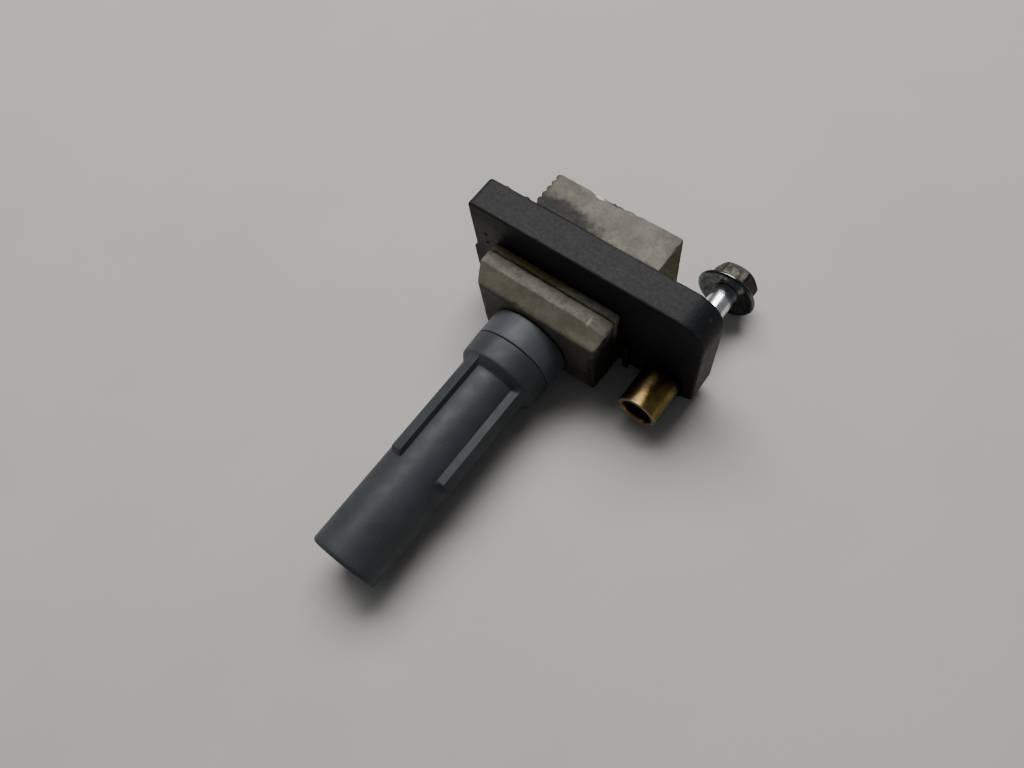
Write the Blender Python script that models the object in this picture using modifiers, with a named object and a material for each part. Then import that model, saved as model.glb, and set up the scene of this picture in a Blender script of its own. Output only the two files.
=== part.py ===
"""Plug-top ignition coil with its fixing bolt, laid on its side.

The plug axis runs along Y: the boot points to -Y and the coil head to +Y. X runs along the flange plate
towards its bolt lug, and Z is up. Sizes and places below are in millimetres, measured from the point where
the plug axis meets the plate's boot side. An empty carries the whole coil, so that the frame's origin is
under the middle of the coil at its lowest level.
"""

import math

import bmesh
import bpy
from mathutils import Vector

MM = 0.001
GAP = 0.3
MERGE = 0.00001
CUT_PAST = 1.0

# Flange plate, with its bolt lug
PLATE_LEFT = -23.0
PLATE_RIGHT = 37.2
PLATE_BOTTOM = -6.3
PLATE_TOP = 23.2
PLATE_THICK = 8.2
LUG_CORNER_R = 7.0
SMALL_CORNER_R = 1.2
TAB_LOW = -1.5
TAB_HIGH = 6.0
TAB_OUT = 1.1
RIB_X = 20.2
RIB_WIDTH = 1.4
RIB_DEPTH = 1.6
RIB_HIGH = 4.0

# Bolt axis, and the sleeve in the lug
BOLT_X = 29.4
BOLT_Z = -2.84
BOSS_R = 6.7
BOSS_END_DEG = 325
SLEEVE_R = 4.82
SLEEVE_BORE_R = 3.6
SLEEVE_LOW = -10.6
SLEEVE_HIGH = 8.6
SLEEVE_CHAMFER = 0.28

# Fixing bolt, raised clear of the plate as it is held loose in the sleeve
WASHER_LOW = 26.4
WASHER_THICK = 1.3
WASHER_R = 7.4
WASHER_CHAMFER = 0.45
WASHER_LOW_CHAMFER = 0.3
HEX_ACROSS_FLATS = 10.0
HEX_HEIGHT = 4.4
HEX_CROWN_INSET = 0.3
SHANK_R = 3.0
BOLT_TIP = -3.6
BOLT_CHAMFER = 0.6

# Lower block: the moulded case on the boot side, with the high-voltage tower
BLOCK_LEFT = -16.2
BLOCK_RIGHT = 17.8
BLOCK_BOTTOM = -6.3
BLOCK_TOP = 13.9
BLOCK_FRONT = -10.2
BLOCK_BEVEL_FROM = -5.8
BLOCK_BEVEL_TOP = 2.25
BLOCK_BEVEL_LEFT = 2.3
BLOCK_BEVEL_RIGHT = 0.2
BLOCK_HOLLOW_SHARE = 0.65
BLOCK_SEAM = -2.3
BLOCK_WALL = 1.6
TOWER_R = 6.6
TOWER_BORE_R = 3.9
TOWER_END = -30.0

# Inner case: the potting cup that runs through the plate's window
CUP_LEFT = -8.2
CUP_RIGHT = 15.8
CUP_BOTTOM = -4.0
CUP_TOP = 13.0
CUP_WALL = 1.2
CUP_END = 12.5
CUP_RIM_BACK = -0.3

# Head cover, with its ribbed left side
COVER_LEFT = -9.8
COVER_RIGHT = 21.1
COVER_END = 17.25
COVER_WALL_X = 1.2
COVER_WALL = 1.6
COVER_RIBS = 5
COVER_RIB_PITCH = 1.75
COVER_RIB_ARC = 8
COVER_RIB_SHARE = 0.94

# Connector on the left side of the head, pointing along the plate
SHELL_LEFT = -26.0
SHELL_RIGHT = -11.0
SHELL_LOW = 9.8
SHELL_HIGH = 17.2
SHELL_BOTTOM = -6.0
SHELL_TOP = 8.0
SHELL_WALL = 1.3
SHELL_BACK = 1.6
PIN_COUNT = 3
PIN_PITCH = 3.6
PIN_WIDTH = 1.5
PIN_THICK = 0.8
PIN_TIP = -21.0
PIN_RISE_STEP = 2.8
PIN_FIRST_BEND = 1.0
PIN_TOP = 14.8

# Magnetic core and its windings, centred in the inner case
CORE_X = 3.8
CORE_Z = 4.5
CORE_HALF_WIDTH = 10.4
CORE_STACK = 6.0
CORE_CENTRE_HALF = 3.0
CORE_SIDE_LEG = 3.0
CORE_FOOT = -8.2
CORE_BACK_THICK = 3.0
CORE_LEG_END = 8.6
CORE_CENTRE_END = 7.2
MAGNET_THICK = 1.1
BAR_END = 11.9
BOBBIN_LOW = -4.8
BOBBIN_HIGH = 8.0
BOBBIN_FLANGE = 0.6
SPOOL_CORNER_R = 0.6
FLANGE_CORNER_R = 1.2
WINDING_OUTER_R = 1.4
WINDING_INNER_R = 0.8
PRIMARY_HALVES = (3.3, 3.8, 4.9)
PRIMARY_WIRE_HALVES = (4.1, 4.9)
SECONDARY_HALVES = (5.2, 5.6, 7.1)
SECONDARY_WIRE_HALVES = (5.9, 6.9)

# Igniter, above the inner case in the head cover
BOARD_LOW = (-6.0, 10.2, 14.2)
BOARD_HIGH = (17.0, 11.4, 21.0)
TRANSISTOR_LOW = (3.0, 11.7, 15.0)
TRANSISTOR_HIGH = (10.5, 13.6, 20.4)
SPREADER_LOW = (3.0, 13.9, 14.6)
SPREADER_HIGH = (12.0, 14.9, 20.8)
CAPACITOR_X = 14.2
CAPACITOR_Z = 17.6
CAPACITOR_R = 2.1
CAPACITOR_LOW = 11.7
CAPACITOR_HIGH = 15.0

# High-voltage path down the boot
RESISTOR_R = 2.6
RESISTOR_LOW = -21.2
RESISTOR_HIGH = -9.6
TERMINAL_R = 3.5
TERMINAL_LOW = -29.4
TERMINAL_HIGH = -21.5
BUTTON_R = 2.0
BUTTON_END = -30.4
LEAD_R = 0.4
LEAD_BENDS = ((0.0, -8.2, -1.2), (1.2, -6.6, -1.8), (3.0, -5.3, -2.0))
SPRING_WIRE_R = 0.4
SPRING_R = 3.1
SPRING_HIGH = -31.2
SPRING_LOW = -58.2
SPRING_TURNS = 9
SPRING_POINTS_PER_TURN = 12
CONTACT_R = 4.4
CONTACT_LOW = -66.0
CONTACT_HIGH = -59.0
CONTACT_SOCKET_R = 3.3
CONTACT_SOCKET_TOP = -61.0

# Rubber boot and its seal ring
RING_R = 10.05
RING_HIGH = -10.5
RING_LOW = -16.9
BOOT_HIGH = -17.2
COLLAR_LOW = -22.9
COLLAR_END_R = 9.8
TUBE_R = 8.2
RAMP_END = -24.8
RIB_CREST_R = 9.45
RIB_FOOT_R = 7.5
RIB_SECTIONS_DEG = ((40.2, 32.0, 13.0, 10.5), (107.2, 109.0, 128.0, 130.5))
RIB_END = -50.7
BOOT_TIP = -74.9
TIP_CHAMFER = 1.0
TIP_ROUND_SHARE = 0.3
TOWER_SOCKET_R = 6.9
TOWER_SOCKET_END = -30.9
SPRING_BORE_R = 4.9
SPRING_BORE_END = -62.5
PLUG_BORE_R = 5.3

# Edge roundings
EDGE_ROUND = 0.5
BLOCK_EDGE = 0.7
FINE_EDGE = 0.4
PLATE_EDGE = 0.25
CHIP_EDGE = 0.2
METAL_CHAMFER = 0.35
BOOT_EDGE = 0.2

ROUND_STEPS = 48
SMALL_STEPS = 32
FEW_STEPS = 24
CORNER_POINTS = 6

# Extent of the whole coil, which places the frame's origin
HEX_LOW = WASHER_LOW + WASHER_THICK + GAP
HEX_TOP = HEX_LOW + HEX_HEIGHT
ORIGIN_X = (SHELL_LEFT + PLATE_RIGHT) / 2
ORIGIN_Y = (BOOT_TIP + HEX_TOP) / 2
ORIGIN_Z = min(-RING_R, BOLT_Z - WASHER_R)

BLACK_PLASTIC = ("black_plastic", (0.020, 0.021, 0.024), 0.55, 0.0)
CASE_PLASTIC = ("case_plastic", (0.25, 0.24, 0.205), 0.62, 0.0)
CUP_PLASTIC = ("cup_plastic", (0.20, 0.18, 0.14), 0.65, 0.0)
BOOT_RUBBER = ("boot_rubber", (0.085, 0.095, 0.108), 0.5, 0.0)
SLEEVE_BRASS = ("sleeve_brass", (0.42, 0.31, 0.14), 0.38, 0.9)
ZINC_STEEL = ("zinc_steel", (0.42, 0.42, 0.38), 0.35, 1.0)
WASHER_STEEL = ("washer_steel", (0.22, 0.23, 0.20), 0.3, 1.0)
CORE_STEEL = ("core_steel", (0.30, 0.30, 0.31), 0.45, 1.0)
MAGNET_GREY = ("magnet_grey", (0.09, 0.09, 0.10), 0.4, 0.6)
BOBBIN_PLASTIC = ("bobbin_plastic", (0.62, 0.58, 0.47), 0.6, 0.0)
COPPER_WIRE = ("copper_wire", (0.60, 0.25, 0.10), 0.35, 0.9)
BOARD_GREEN = ("board_green", (0.03, 0.16, 0.07), 0.5, 0.0)
CHIP_BLACK = ("chip_black", (0.018, 0.018, 0.018), 0.45, 0.0)
SPREADER_ALUMINIUM = ("spreader_aluminium", (0.62, 0.63, 0.64), 0.4, 1.0)
TINNED_BRASS = ("tinned_brass", (0.62, 0.60, 0.52), 0.3, 1.0)
CERAMIC_WHITE = ("ceramic_white", (0.72, 0.70, 0.64), 0.5, 0.0)


def clear_scene():
    for item in list(bpy.data.objects):
        bpy.data.objects.remove(item, do_unlink=True)


def new_collection(name):
    collection = bpy.data.collections.new(name)
    bpy.context.scene.collection.children.link(collection)
    return collection


def material(finish):
    name, colour, roughness, metallic = finish
    found = bpy.data.materials.get(name)
    if found:
        return found
    made = bpy.data.materials.new(name)
    made.use_nodes = True
    shader = made.node_tree.nodes["Principled BSDF"]
    shader.inputs["Base Color"].default_value = (*colour, 1.0)
    shader.inputs["Roughness"].default_value = roughness
    shader.inputs["Metallic"].default_value = metallic
    made.diffuse_color = (*colour, 1.0)
    return made


clear_scene()
PARTS = new_collection("ignition_coil")
CUTTERS = new_collection("ignition_coil_cutters")
PLACING = bpy.data.objects.new("placing", None)
PLACING.location = (-ORIGIN_X * MM, -ORIGIN_Y * MM, -ORIGIN_Z * MM)
PARTS.objects.link(PLACING)


def place(name, mesh, collection, finish=None, at=(0, 0, 0), turn=(0, 0, 0)):
    """Put a mesh or curve into a collection, carried by the placing empty, at a point in millimetres."""
    item = bpy.data.objects.new(name, mesh)
    collection.objects.link(item)
    item.parent = PLACING
    item.location = Vector(at) * MM
    item.rotation_euler = turn
    if finish:
        mesh.materials.append(material(finish))
    return item


def as_cutter(item):
    item.hide_render = True
    item.display_type = "WIRE"
    for collection in list(item.users_collection):
        collection.objects.unlink(item)
    CUTTERS.objects.link(item)
    return item


def box(name, low, high, finish=None):
    """A box between two corners."""
    mesh = bpy.data.meshes.new(name)
    low, high = Vector(low), Vector(high)
    shape = bmesh.new()
    bmesh.ops.create_cube(shape, size=1.0)
    bmesh.ops.scale(shape, vec=(high - low) * MM, verts=shape.verts)
    shape.to_mesh(mesh)
    shape.free()
    return place(name, mesh, PARTS, finish, at=(low + high) / 2)


def turned(name, profile, finish=None, x=0.0, z=0.0, steps=ROUND_STEPS):
    """A body turned about the line through (x, z) along Y.

    The profile is a closed loop of (radius, y) points: down the outer side, then up the inner side. A solid
    body's profile starts and ends on the axis and is left open there.
    """
    hollow = profile[0][0] > 0
    mesh = bpy.data.meshes.new(name)
    shape = bmesh.new()
    points = [shape.verts.new((radius * MM, 0, y * MM)) for radius, y in profile]
    for first, second in zip(points, points[1:]):
        shape.edges.new((first, second))
    if hollow:
        shape.edges.new((points[-1], points[0]))
    shape.to_mesh(mesh)
    shape.free()
    item = place(name, mesh, PARTS, finish, at=(x, 0, z), turn=(-math.pi / 2, 0, 0))
    screw = item.modifiers.new("turn", "SCREW")
    screw.steps = steps
    screw.render_steps = steps
    screw.use_merge_vertices = True
    screw.merge_threshold = MERGE
    screw.use_smooth_shade = True
    return item


def tube_profile(outer, inner, high, low, chamfer=0.0):
    """The loop of a plain tube, with chamfered outer edges when asked."""
    if not chamfer:
        return [(outer, high), (outer, low), (inner, low), (inner, high)]
    return [
        (outer - chamfer, high),
        (outer, high - chamfer),
        (outer, low + chamfer),
        (outer - chamfer, low),
        (inner, low),
        (inner, high),
    ]


def rod_profile(radius, high, low, chamfer=0.0):
    """The profile of a plain rod, with chamfered ends when asked."""
    if not chamfer:
        return [(0, high), (radius, high), (radius, low), (0, low)]
    return [
        (0, high),
        (radius - chamfer, high),
        (radius, high - chamfer),
        (radius, low + chamfer),
        (radius - chamfer, low),
        (0, low),
    ]


def arc(cx, cy, radius, start_deg, end_deg, count=CORNER_POINTS):
    """Points along an arc, both ends included."""
    angles = [math.radians(start_deg + (end_deg - start_deg) * i / count) for i in range(count + 1)]
    return [(cx + radius * math.cos(a), cy + radius * math.sin(a)) for a in angles]


def rounded_rectangle(left, right, low, high, radius):
    points = []
    points += arc(right - radius, low + radius, radius, -90, 0)
    points += arc(right - radius, high - radius, radius, 0, 90)
    points += arc(left + radius, high - radius, radius, 90, 180)
    points += arc(left + radius, low + radius, radius, 180, 270)
    return points


def prism(name, outline, low, high, finish=None, along="Y"):
    """A flat outline given a thickness. Along Y the outline is in X and Z, along Z it is in X and Y."""
    curve = bpy.data.curves.new(name, "CURVE")
    curve.dimensions = "2D"
    curve.fill_mode = "BOTH"
    curve.extrude = (high - low) / 2 * MM
    spline = curve.splines.new("POLY")
    spline.points.add(len(outline) - 1)
    for point, (u, v) in zip(spline.points, outline):
        point.co = (u * MM, v * MM, 0, 1)
    spline.use_cyclic_u = True
    middle = (low + high) / 2
    at = (0, middle, 0) if along == "Y" else (0, 0, middle)
    turn = (math.pi / 2, 0, 0) if along == "Y" else (0, 0, 0)
    guide = place(name + "_outline", curve, PARTS, at=at, turn=turn)
    return solid_from_curve(name, guide, finish, at, turn)


def solid_from_curve(name, guide, finish, at=(0, 0, 0), turn=(0, 0, 0)):
    """The curve's evaluated shape as a welded mesh object in its place."""
    bpy.context.view_layer.update()
    evaluated = guide.evaluated_get(bpy.context.evaluated_depsgraph_get())
    mesh = bpy.data.meshes.new_from_object(evaluated)
    mesh.name = name
    shape = bmesh.new()
    shape.from_mesh(mesh)
    bmesh.ops.remove_doubles(shape, verts=shape.verts, dist=MERGE)
    bmesh.ops.dissolve_limit(
        shape, angle_limit=math.radians(0.5), verts=shape.verts, edges=shape.edges
    )
    bmesh.ops.recalc_face_normals(shape, faces=shape.faces)
    shape.to_mesh(mesh)
    shape.free()
    bpy.data.objects.remove(guide, do_unlink=True)
    mesh.materials.clear()
    return place(name, mesh, PARTS, finish, at=at, turn=turn)


def round_edges(item, width=EDGE_ROUND, segments=2):
    bevel = item.modifiers.new("edges", "BEVEL")
    bevel.width = width * MM
    bevel.segments = segments
    bevel.limit_method = "ANGLE"
    bevel.angle_limit = math.radians(35)


def combine(item, other, operation):
    """Cut or join another body, which goes to the cutters."""
    as_cutter(other)
    boolean = item.modifiers.new(other.name, "BOOLEAN")
    boolean.operation = operation
    boolean.object = other


def cut_box(item, low, high, label="hollow"):
    combine(item, box(f"{item.name}_{label}", low, high), "DIFFERENCE")


def cut_round(item, radius, high, low, x=0.0, z=0.0, label="bore", steps=ROUND_STEPS):
    cutter = turned(f"{item.name}_{label}", rod_profile(radius, high, low), x=x, z=z, steps=steps)
    combine(item, cutter, "DIFFERENCE")


def make_flange_plate():
    """The black plate: square ended at the left, and a rounded lug around the bolt at the right."""
    drop = BOLT_Z - PLATE_BOTTOM
    meet = math.degrees(math.asin(drop / BOSS_R))
    outline = [(PLATE_LEFT, PLATE_BOTTOM)]
    outline += arc(BOLT_X, BOLT_Z, BOSS_R, 180 + meet, BOSS_END_DEG, 2 * CORNER_POINTS)
    outline += arc(
        PLATE_RIGHT - SMALL_CORNER_R, PLATE_BOTTOM + SMALL_CORNER_R, SMALL_CORNER_R, -60, 0, 2
    )
    outline += arc(PLATE_RIGHT - LUG_CORNER_R, PLATE_TOP - LUG_CORNER_R, LUG_CORNER_R, 0, 90, 10)
    outline += arc(PLATE_LEFT + SMALL_CORNER_R, PLATE_TOP - SMALL_CORNER_R, SMALL_CORNER_R, 90, 180, 3)
    outline += [
        (PLATE_LEFT, TAB_HIGH + TAB_OUT),
        (PLATE_LEFT - TAB_OUT, TAB_HIGH),
        (PLATE_LEFT - TAB_OUT, TAB_LOW),
        (PLATE_LEFT, TAB_LOW - TAB_OUT),
    ]
    plate = prism("flange_plate", outline, 0, PLATE_THICK, BLACK_PLASTIC)
    round_edges(plate, PLATE_EDGE, 1)
    rib = box(
        "flange_plate_rib",
        (RIB_X - RIB_WIDTH / 2, -RIB_DEPTH, PLATE_BOTTOM + EDGE_ROUND),
        (RIB_X + RIB_WIDTH / 2, PLATE_THICK / 2, RIB_HIGH),
    )
    combine(plate, rib, "UNION")
    cut_box(
        plate,
        (CUP_LEFT - GAP, -CUT_PAST, CUP_BOTTOM - GAP),
        (CUP_RIGHT + GAP, PLATE_THICK + CUT_PAST, CUP_TOP + GAP),
        "window",
    )
    cut_round(plate, SLEEVE_R + GAP, PLATE_THICK + CUT_PAST, -CUT_PAST, BOLT_X, BOLT_Z)


def make_lower_case():
    """The bevelled block on the boot side, open behind, with the tower that the boot slides on."""
    mesh = bpy.data.meshes.new("lower_case")
    low = Vector((BLOCK_LEFT, BLOCK_BEVEL_FROM, BLOCK_BOTTOM))
    high = Vector((BLOCK_RIGHT, BLOCK_SEAM, BLOCK_TOP))
    shape = bmesh.new()
    bmesh.ops.create_cube(shape, size=1.0)
    bmesh.ops.scale(shape, vec=high - low, verts=shape.verts)
    bmesh.ops.translate(shape, vec=(low + high) / 2, verts=shape.verts)
    shape.faces.ensure_lookup_table()
    front = min(shape.faces, key=lambda face: face.calc_center_median().y)
    moved = bmesh.ops.extrude_face_region(shape, geom=[front])["geom"]
    bmesh.ops.delete(shape, geom=[front], context="FACES_ONLY")
    for vertex in (item for item in moved if isinstance(item, bmesh.types.BMVert)):
        vertex.co.y = BLOCK_FRONT
        vertex.co.x += BLOCK_BEVEL_LEFT if vertex.co.x < 0 else -BLOCK_BEVEL_RIGHT
        if vertex.co.z > 0:
            vertex.co.z -= BLOCK_BEVEL_TOP
    bmesh.ops.scale(shape, vec=(MM, MM, MM), verts=shape.verts)
    bmesh.ops.recalc_face_normals(shape, faces=shape.faces)
    shape.to_mesh(mesh)
    shape.free()
    case = place("lower_case", mesh, PARTS, CASE_PLASTIC)
    round_edges(case, BLOCK_EDGE)
    tower = turned("lower_case_tower", rod_profile(TOWER_R, BLOCK_FRONT + CUT_PAST, TOWER_END, EDGE_ROUND))
    combine(case, tower, "UNION")
    open_behind = BLOCK_SEAM + CUT_PAST
    inset = BLOCK_WALL + BLOCK_BEVEL_LEFT * BLOCK_HOLLOW_SHARE
    cut_box(
        case,
        (BLOCK_LEFT + inset, BLOCK_FRONT + BLOCK_WALL, BLOCK_BOTTOM + BLOCK_WALL),
        (BLOCK_RIGHT - inset, open_behind, BLOCK_TOP - BLOCK_BEVEL_TOP - BLOCK_WALL),
        "deep_hollow",
    )
    cut_box(
        case,
        (BLOCK_LEFT + BLOCK_WALL, BLOCK_BEVEL_FROM, BLOCK_BOTTOM + BLOCK_WALL),
        (BLOCK_RIGHT - BLOCK_WALL, open_behind, BLOCK_TOP - BLOCK_WALL),
    )
    cut_round(case, TOWER_BORE_R, BLOCK_FRONT + BLOCK_WALL + CUT_PAST, TOWER_END - CUT_PAST)


def make_inner_case():
    """The potting cup: a square tube through the plate, with a rim trapped under the lower block."""
    cup = box(
        "inner_case",
        (BLOCK_LEFT + GAP, BLOCK_SEAM + GAP, BLOCK_BOTTOM + GAP),
        (BLOCK_RIGHT - GAP, CUP_RIM_BACK, BLOCK_TOP - GAP),
        CUP_PLASTIC,
    )
    round_edges(cup, FINE_EDGE, 1)
    wall = box(
        "inner_case_wall",
        (CUP_LEFT, CUP_RIM_BACK - GAP, CUP_BOTTOM),
        (CUP_RIGHT, CUP_END, CUP_TOP),
    )
    combine(cup, wall, "UNION")
    cut_box(
        cup,
        (CUP_LEFT + CUP_WALL, BLOCK_SEAM - CUT_PAST, CUP_BOTTOM + CUP_WALL),
        (CUP_RIGHT - CUP_WALL, CUP_END + CUT_PAST, CUP_TOP - CUP_WALL),
    )


def cover_outline():
    """The cover seen from above: a rectangle whose left side is a row of half-round ribs."""
    low = PLATE_THICK + GAP
    points = [(COVER_LEFT, low), (COVER_RIGHT, low), (COVER_RIGHT, COVER_END), (COVER_LEFT, COVER_END)]
    radius = COVER_RIB_PITCH / 2
    for index in range(COVER_RIBS):
        centre = COVER_END - radius * (2 * index + 1)
        points += arc(COVER_LEFT, centre, radius * COVER_RIB_SHARE, 95, 265, COVER_RIB_ARC)
    return points


def make_head_cover():
    """The block on the far side of the plate: a cup over the igniter and the top of the coil."""
    low = PLATE_THICK + GAP
    cover = prism("head_cover", cover_outline(), PLATE_BOTTOM, PLATE_TOP, CASE_PLASTIC, along="Z")
    round_edges(cover, FINE_EDGE, 1)
    cut_box(
        cover,
        (COVER_LEFT + COVER_WALL_X, low - CUT_PAST, PLATE_BOTTOM + COVER_WALL),
        (COVER_RIGHT - COVER_WALL, COVER_END - COVER_WALL, PLATE_TOP - COVER_WALL),
    )
    middle = (SHELL_BOTTOM + SHELL_TOP) / 2
    reach = PIN_PITCH * (PIN_COUNT - 1) / 2 + PIN_WIDTH
    centre = (SHELL_LOW + SHELL_HIGH) / 2
    cut_box(
        cover,
        (SHELL_RIGHT, centre - PIN_THICK, middle - reach),
        (COVER_LEFT + COVER_WALL_X + CUT_PAST, centre + PIN_THICK, middle + reach),
        "pin_slot",
    )


def pin_levels():
    middle = (SHELL_BOTTOM + SHELL_TOP) / 2
    return [middle + PIN_PITCH * (index - (PIN_COUNT - 1) / 2) for index in range(PIN_COUNT)]


def make_connector():
    """The socket for the harness plug, and its blades, which turn up to the igniter board."""
    shell = box(
        "connector_shell",
        (SHELL_LEFT, SHELL_LOW, SHELL_BOTTOM),
        (SHELL_RIGHT, SHELL_HIGH, SHELL_TOP),
        BLACK_PLASTIC,
    )
    round_edges(shell, EDGE_ROUND)
    cut_box(
        shell,
        (SHELL_LEFT - CUT_PAST, SHELL_LOW + SHELL_WALL, SHELL_BOTTOM + SHELL_WALL),
        (SHELL_RIGHT - SHELL_BACK, SHELL_HIGH - SHELL_WALL, SHELL_TOP - SHELL_WALL),
        "socket",
    )
    centre = (SHELL_LOW + SHELL_HIGH) / 2
    for index, level in enumerate(pin_levels()):
        cut_box(
            shell,
            (SHELL_RIGHT - SHELL_BACK - CUT_PAST, centre - PIN_THICK / 2 - GAP, level - PIN_WIDTH / 2 - GAP),
            (SHELL_RIGHT + CUT_PAST, centre + PIN_THICK / 2 + GAP, level + PIN_WIDTH / 2 + GAP),
            f"slot_{index + 1}",
        )
        bend = PIN_FIRST_BEND - PIN_RISE_STEP * index
        pin = box(
            f"terminal_pin_{index + 1}",
            (PIN_TIP, centre - PIN_THICK / 2, level - PIN_WIDTH / 2),
            (bend, centre + PIN_THICK / 2, level + PIN_WIDTH / 2),
            TINNED_BRASS,
        )
        riser = box(
            f"terminal_pin_{index + 1}_riser",
            (bend - PIN_WIDTH, centre - PIN_THICK / 2, level - PIN_WIDTH / 2),
            (bend, centre + PIN_THICK / 2, PIN_TOP),
        )
        combine(pin, riser, "UNION")


def make_core():
    """An E-shaped stack, a bar that closes it, and the bias magnet in the centre gap."""
    left = CORE_X - CORE_HALF_WIDTH
    right = CORE_X + CORE_HALF_WIDTH
    shoulder = CORE_FOOT + CORE_BACK_THICK
    outline = [
        (left, CORE_FOOT),
        (right, CORE_FOOT),
        (right, CORE_LEG_END),
        (right - CORE_SIDE_LEG, CORE_LEG_END),
        (right - CORE_SIDE_LEG, shoulder),
        (CORE_X + CORE_CENTRE_HALF, shoulder),
        (CORE_X + CORE_CENTRE_HALF, CORE_CENTRE_END),
        (CORE_X - CORE_CENTRE_HALF, CORE_CENTRE_END),
        (CORE_X - CORE_CENTRE_HALF, shoulder),
        (left + CORE_SIDE_LEG, shoulder),
        (left + CORE_SIDE_LEG, CORE_LEG_END),
        (left, CORE_LEG_END),
    ]
    bottom = CORE_Z - CORE_STACK / 2
    top = CORE_Z + CORE_STACK / 2
    prism("core_e_stack", outline, bottom, top, CORE_STEEL, along="Z")
    box("core_bar", (left, CORE_LEG_END + GAP, bottom), (right, BAR_END, top), CORE_STEEL)
    half = CORE_CENTRE_HALF
    box(
        "bias_magnet",
        (CORE_X - half, CORE_CENTRE_END + GAP / 2, bottom),
        (CORE_X + half, CORE_CENTRE_END + GAP / 2 + MAGNET_THICK, top),
        MAGNET_GREY,
    )


def square_about_core(half, radius):
    return rounded_rectangle(CORE_X - half, CORE_X + half, CORE_Z - half, CORE_Z + half, radius)


def make_bobbin(name, halves):
    """A square spool around the core's centre leg: a thin tube between two flanges."""
    inner, outer, flange = halves
    spool = prism(name, square_about_core(outer, SPOOL_CORNER_R), BOBBIN_LOW, BOBBIN_HIGH, BOBBIN_PLASTIC)
    for label, low in (("lower", BOBBIN_LOW), ("upper", BOBBIN_HIGH - BOBBIN_FLANGE)):
        disc = prism(f"{name}_{label}", square_about_core(flange, FLANGE_CORNER_R), low, low + BOBBIN_FLANGE)
        combine(spool, disc, "UNION")
    cut_box(
        spool,
        (CORE_X - inner, BOBBIN_LOW - CUT_PAST, CORE_Z - inner),
        (CORE_X + inner, BOBBIN_HIGH + CUT_PAST, CORE_Z + inner),
    )


def make_winding(name, halves):
    """The wound wire as one square ring between a bobbin's flanges."""
    inner, outer = halves
    low = BOBBIN_LOW + BOBBIN_FLANGE + GAP
    high = BOBBIN_HIGH - BOBBIN_FLANGE - GAP
    ring = prism(name, square_about_core(outer, WINDING_OUTER_R), low, high, COPPER_WIRE)
    hole = prism(f"{name}_hole", square_about_core(inner, WINDING_INNER_R), low - CUT_PAST, high + CUT_PAST)
    combine(ring, hole, "DIFFERENCE")


def make_igniter():
    """The switching circuit: a board, the power transistor, its heat spreader and a capacitor."""
    box("igniter_board", BOARD_LOW, BOARD_HIGH, BOARD_GREEN)
    round_edges(box("power_transistor", TRANSISTOR_LOW, TRANSISTOR_HIGH, CHIP_BLACK), CHIP_EDGE, 1)
    round_edges(box("heat_spreader", SPREADER_LOW, SPREADER_HIGH, SPREADER_ALUMINIUM), CHIP_EDGE, 1)
    profile = rod_profile(CAPACITOR_R, CAPACITOR_HIGH, CAPACITOR_LOW, METAL_CHAMFER)
    turned("capacitor", profile, CHIP_BLACK, CAPACITOR_X, CAPACITOR_Z, FEW_STEPS)


def make_mount_sleeve():
    """The metal sleeve that takes the bolt's clamping load through the lug."""
    profile = [
        (SLEEVE_R - SLEEVE_CHAMFER, SLEEVE_HIGH),
        (SLEEVE_R, SLEEVE_HIGH - SLEEVE_CHAMFER),
        (SLEEVE_R, SLEEVE_LOW + SLEEVE_CHAMFER),
        (SLEEVE_R - SLEEVE_CHAMFER, SLEEVE_LOW),
        (SLEEVE_BORE_R + SLEEVE_CHAMFER, SLEEVE_LOW),
        (SLEEVE_BORE_R, SLEEVE_LOW + SLEEVE_CHAMFER),
        (SLEEVE_BORE_R, SLEEVE_HIGH - SLEEVE_CHAMFER),
        (SLEEVE_BORE_R + SLEEVE_CHAMFER, SLEEVE_HIGH),
    ]
    turned("mount_sleeve", profile, SLEEVE_BRASS, BOLT_X, BOLT_Z, SMALL_STEPS)


def make_bolt():
    """The fixing bolt and its captive washer."""
    washer = [
        (WASHER_R - WASHER_CHAMFER, WASHER_LOW + WASHER_THICK),
        (WASHER_R, WASHER_LOW + WASHER_THICK - WASHER_CHAMFER),
        (WASHER_R, WASHER_LOW + WASHER_LOW_CHAMFER),
        (WASHER_R - WASHER_LOW_CHAMFER, WASHER_LOW),
        (SHANK_R + GAP, WASHER_LOW),
        (SHANK_R + GAP, WASHER_LOW + WASHER_THICK),
    ]
    turned("bolt_washer", washer, WASHER_STEEL, BOLT_X, BOLT_Z, SMALL_STEPS)
    corner_r = HEX_ACROSS_FLATS / math.sqrt(3)
    hexagon = arc(0, 0, corner_r, 0, 300, 5)
    head = prism(
        "bolt", [(BOLT_X + u, BOLT_Z + v) for u, v in hexagon], HEX_LOW, HEX_TOP, ZINC_STEEL
    )
    trim = [
        (0, HEX_TOP + CUT_PAST),
        (HEX_ACROSS_FLATS / 2 - HEX_CROWN_INSET - CUT_PAST, HEX_TOP + CUT_PAST),
        (corner_r + CUT_PAST, HEX_TOP - CUT_PAST),
        (corner_r + CUT_PAST, HEX_LOW - CUT_PAST),
        (0, HEX_LOW - CUT_PAST),
    ]
    combine(head, turned("bolt_trim", trim, x=BOLT_X, z=BOLT_Z, steps=SMALL_STEPS), "INTERSECT")
    shank = [
        (0, HEX_LOW + CUT_PAST),
        (SHANK_R, HEX_LOW + CUT_PAST),
        (SHANK_R, BOLT_TIP + BOLT_CHAMFER),
        (SHANK_R - BOLT_CHAMFER, BOLT_TIP),
        (0, BOLT_TIP),
    ]
    combine(head, turned("bolt_shank", shank, x=BOLT_X, z=BOLT_Z, steps=SMALL_STEPS), "UNION")
    move_origin(head, (BOLT_X, HEX_LOW, BOLT_Z))


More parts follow.
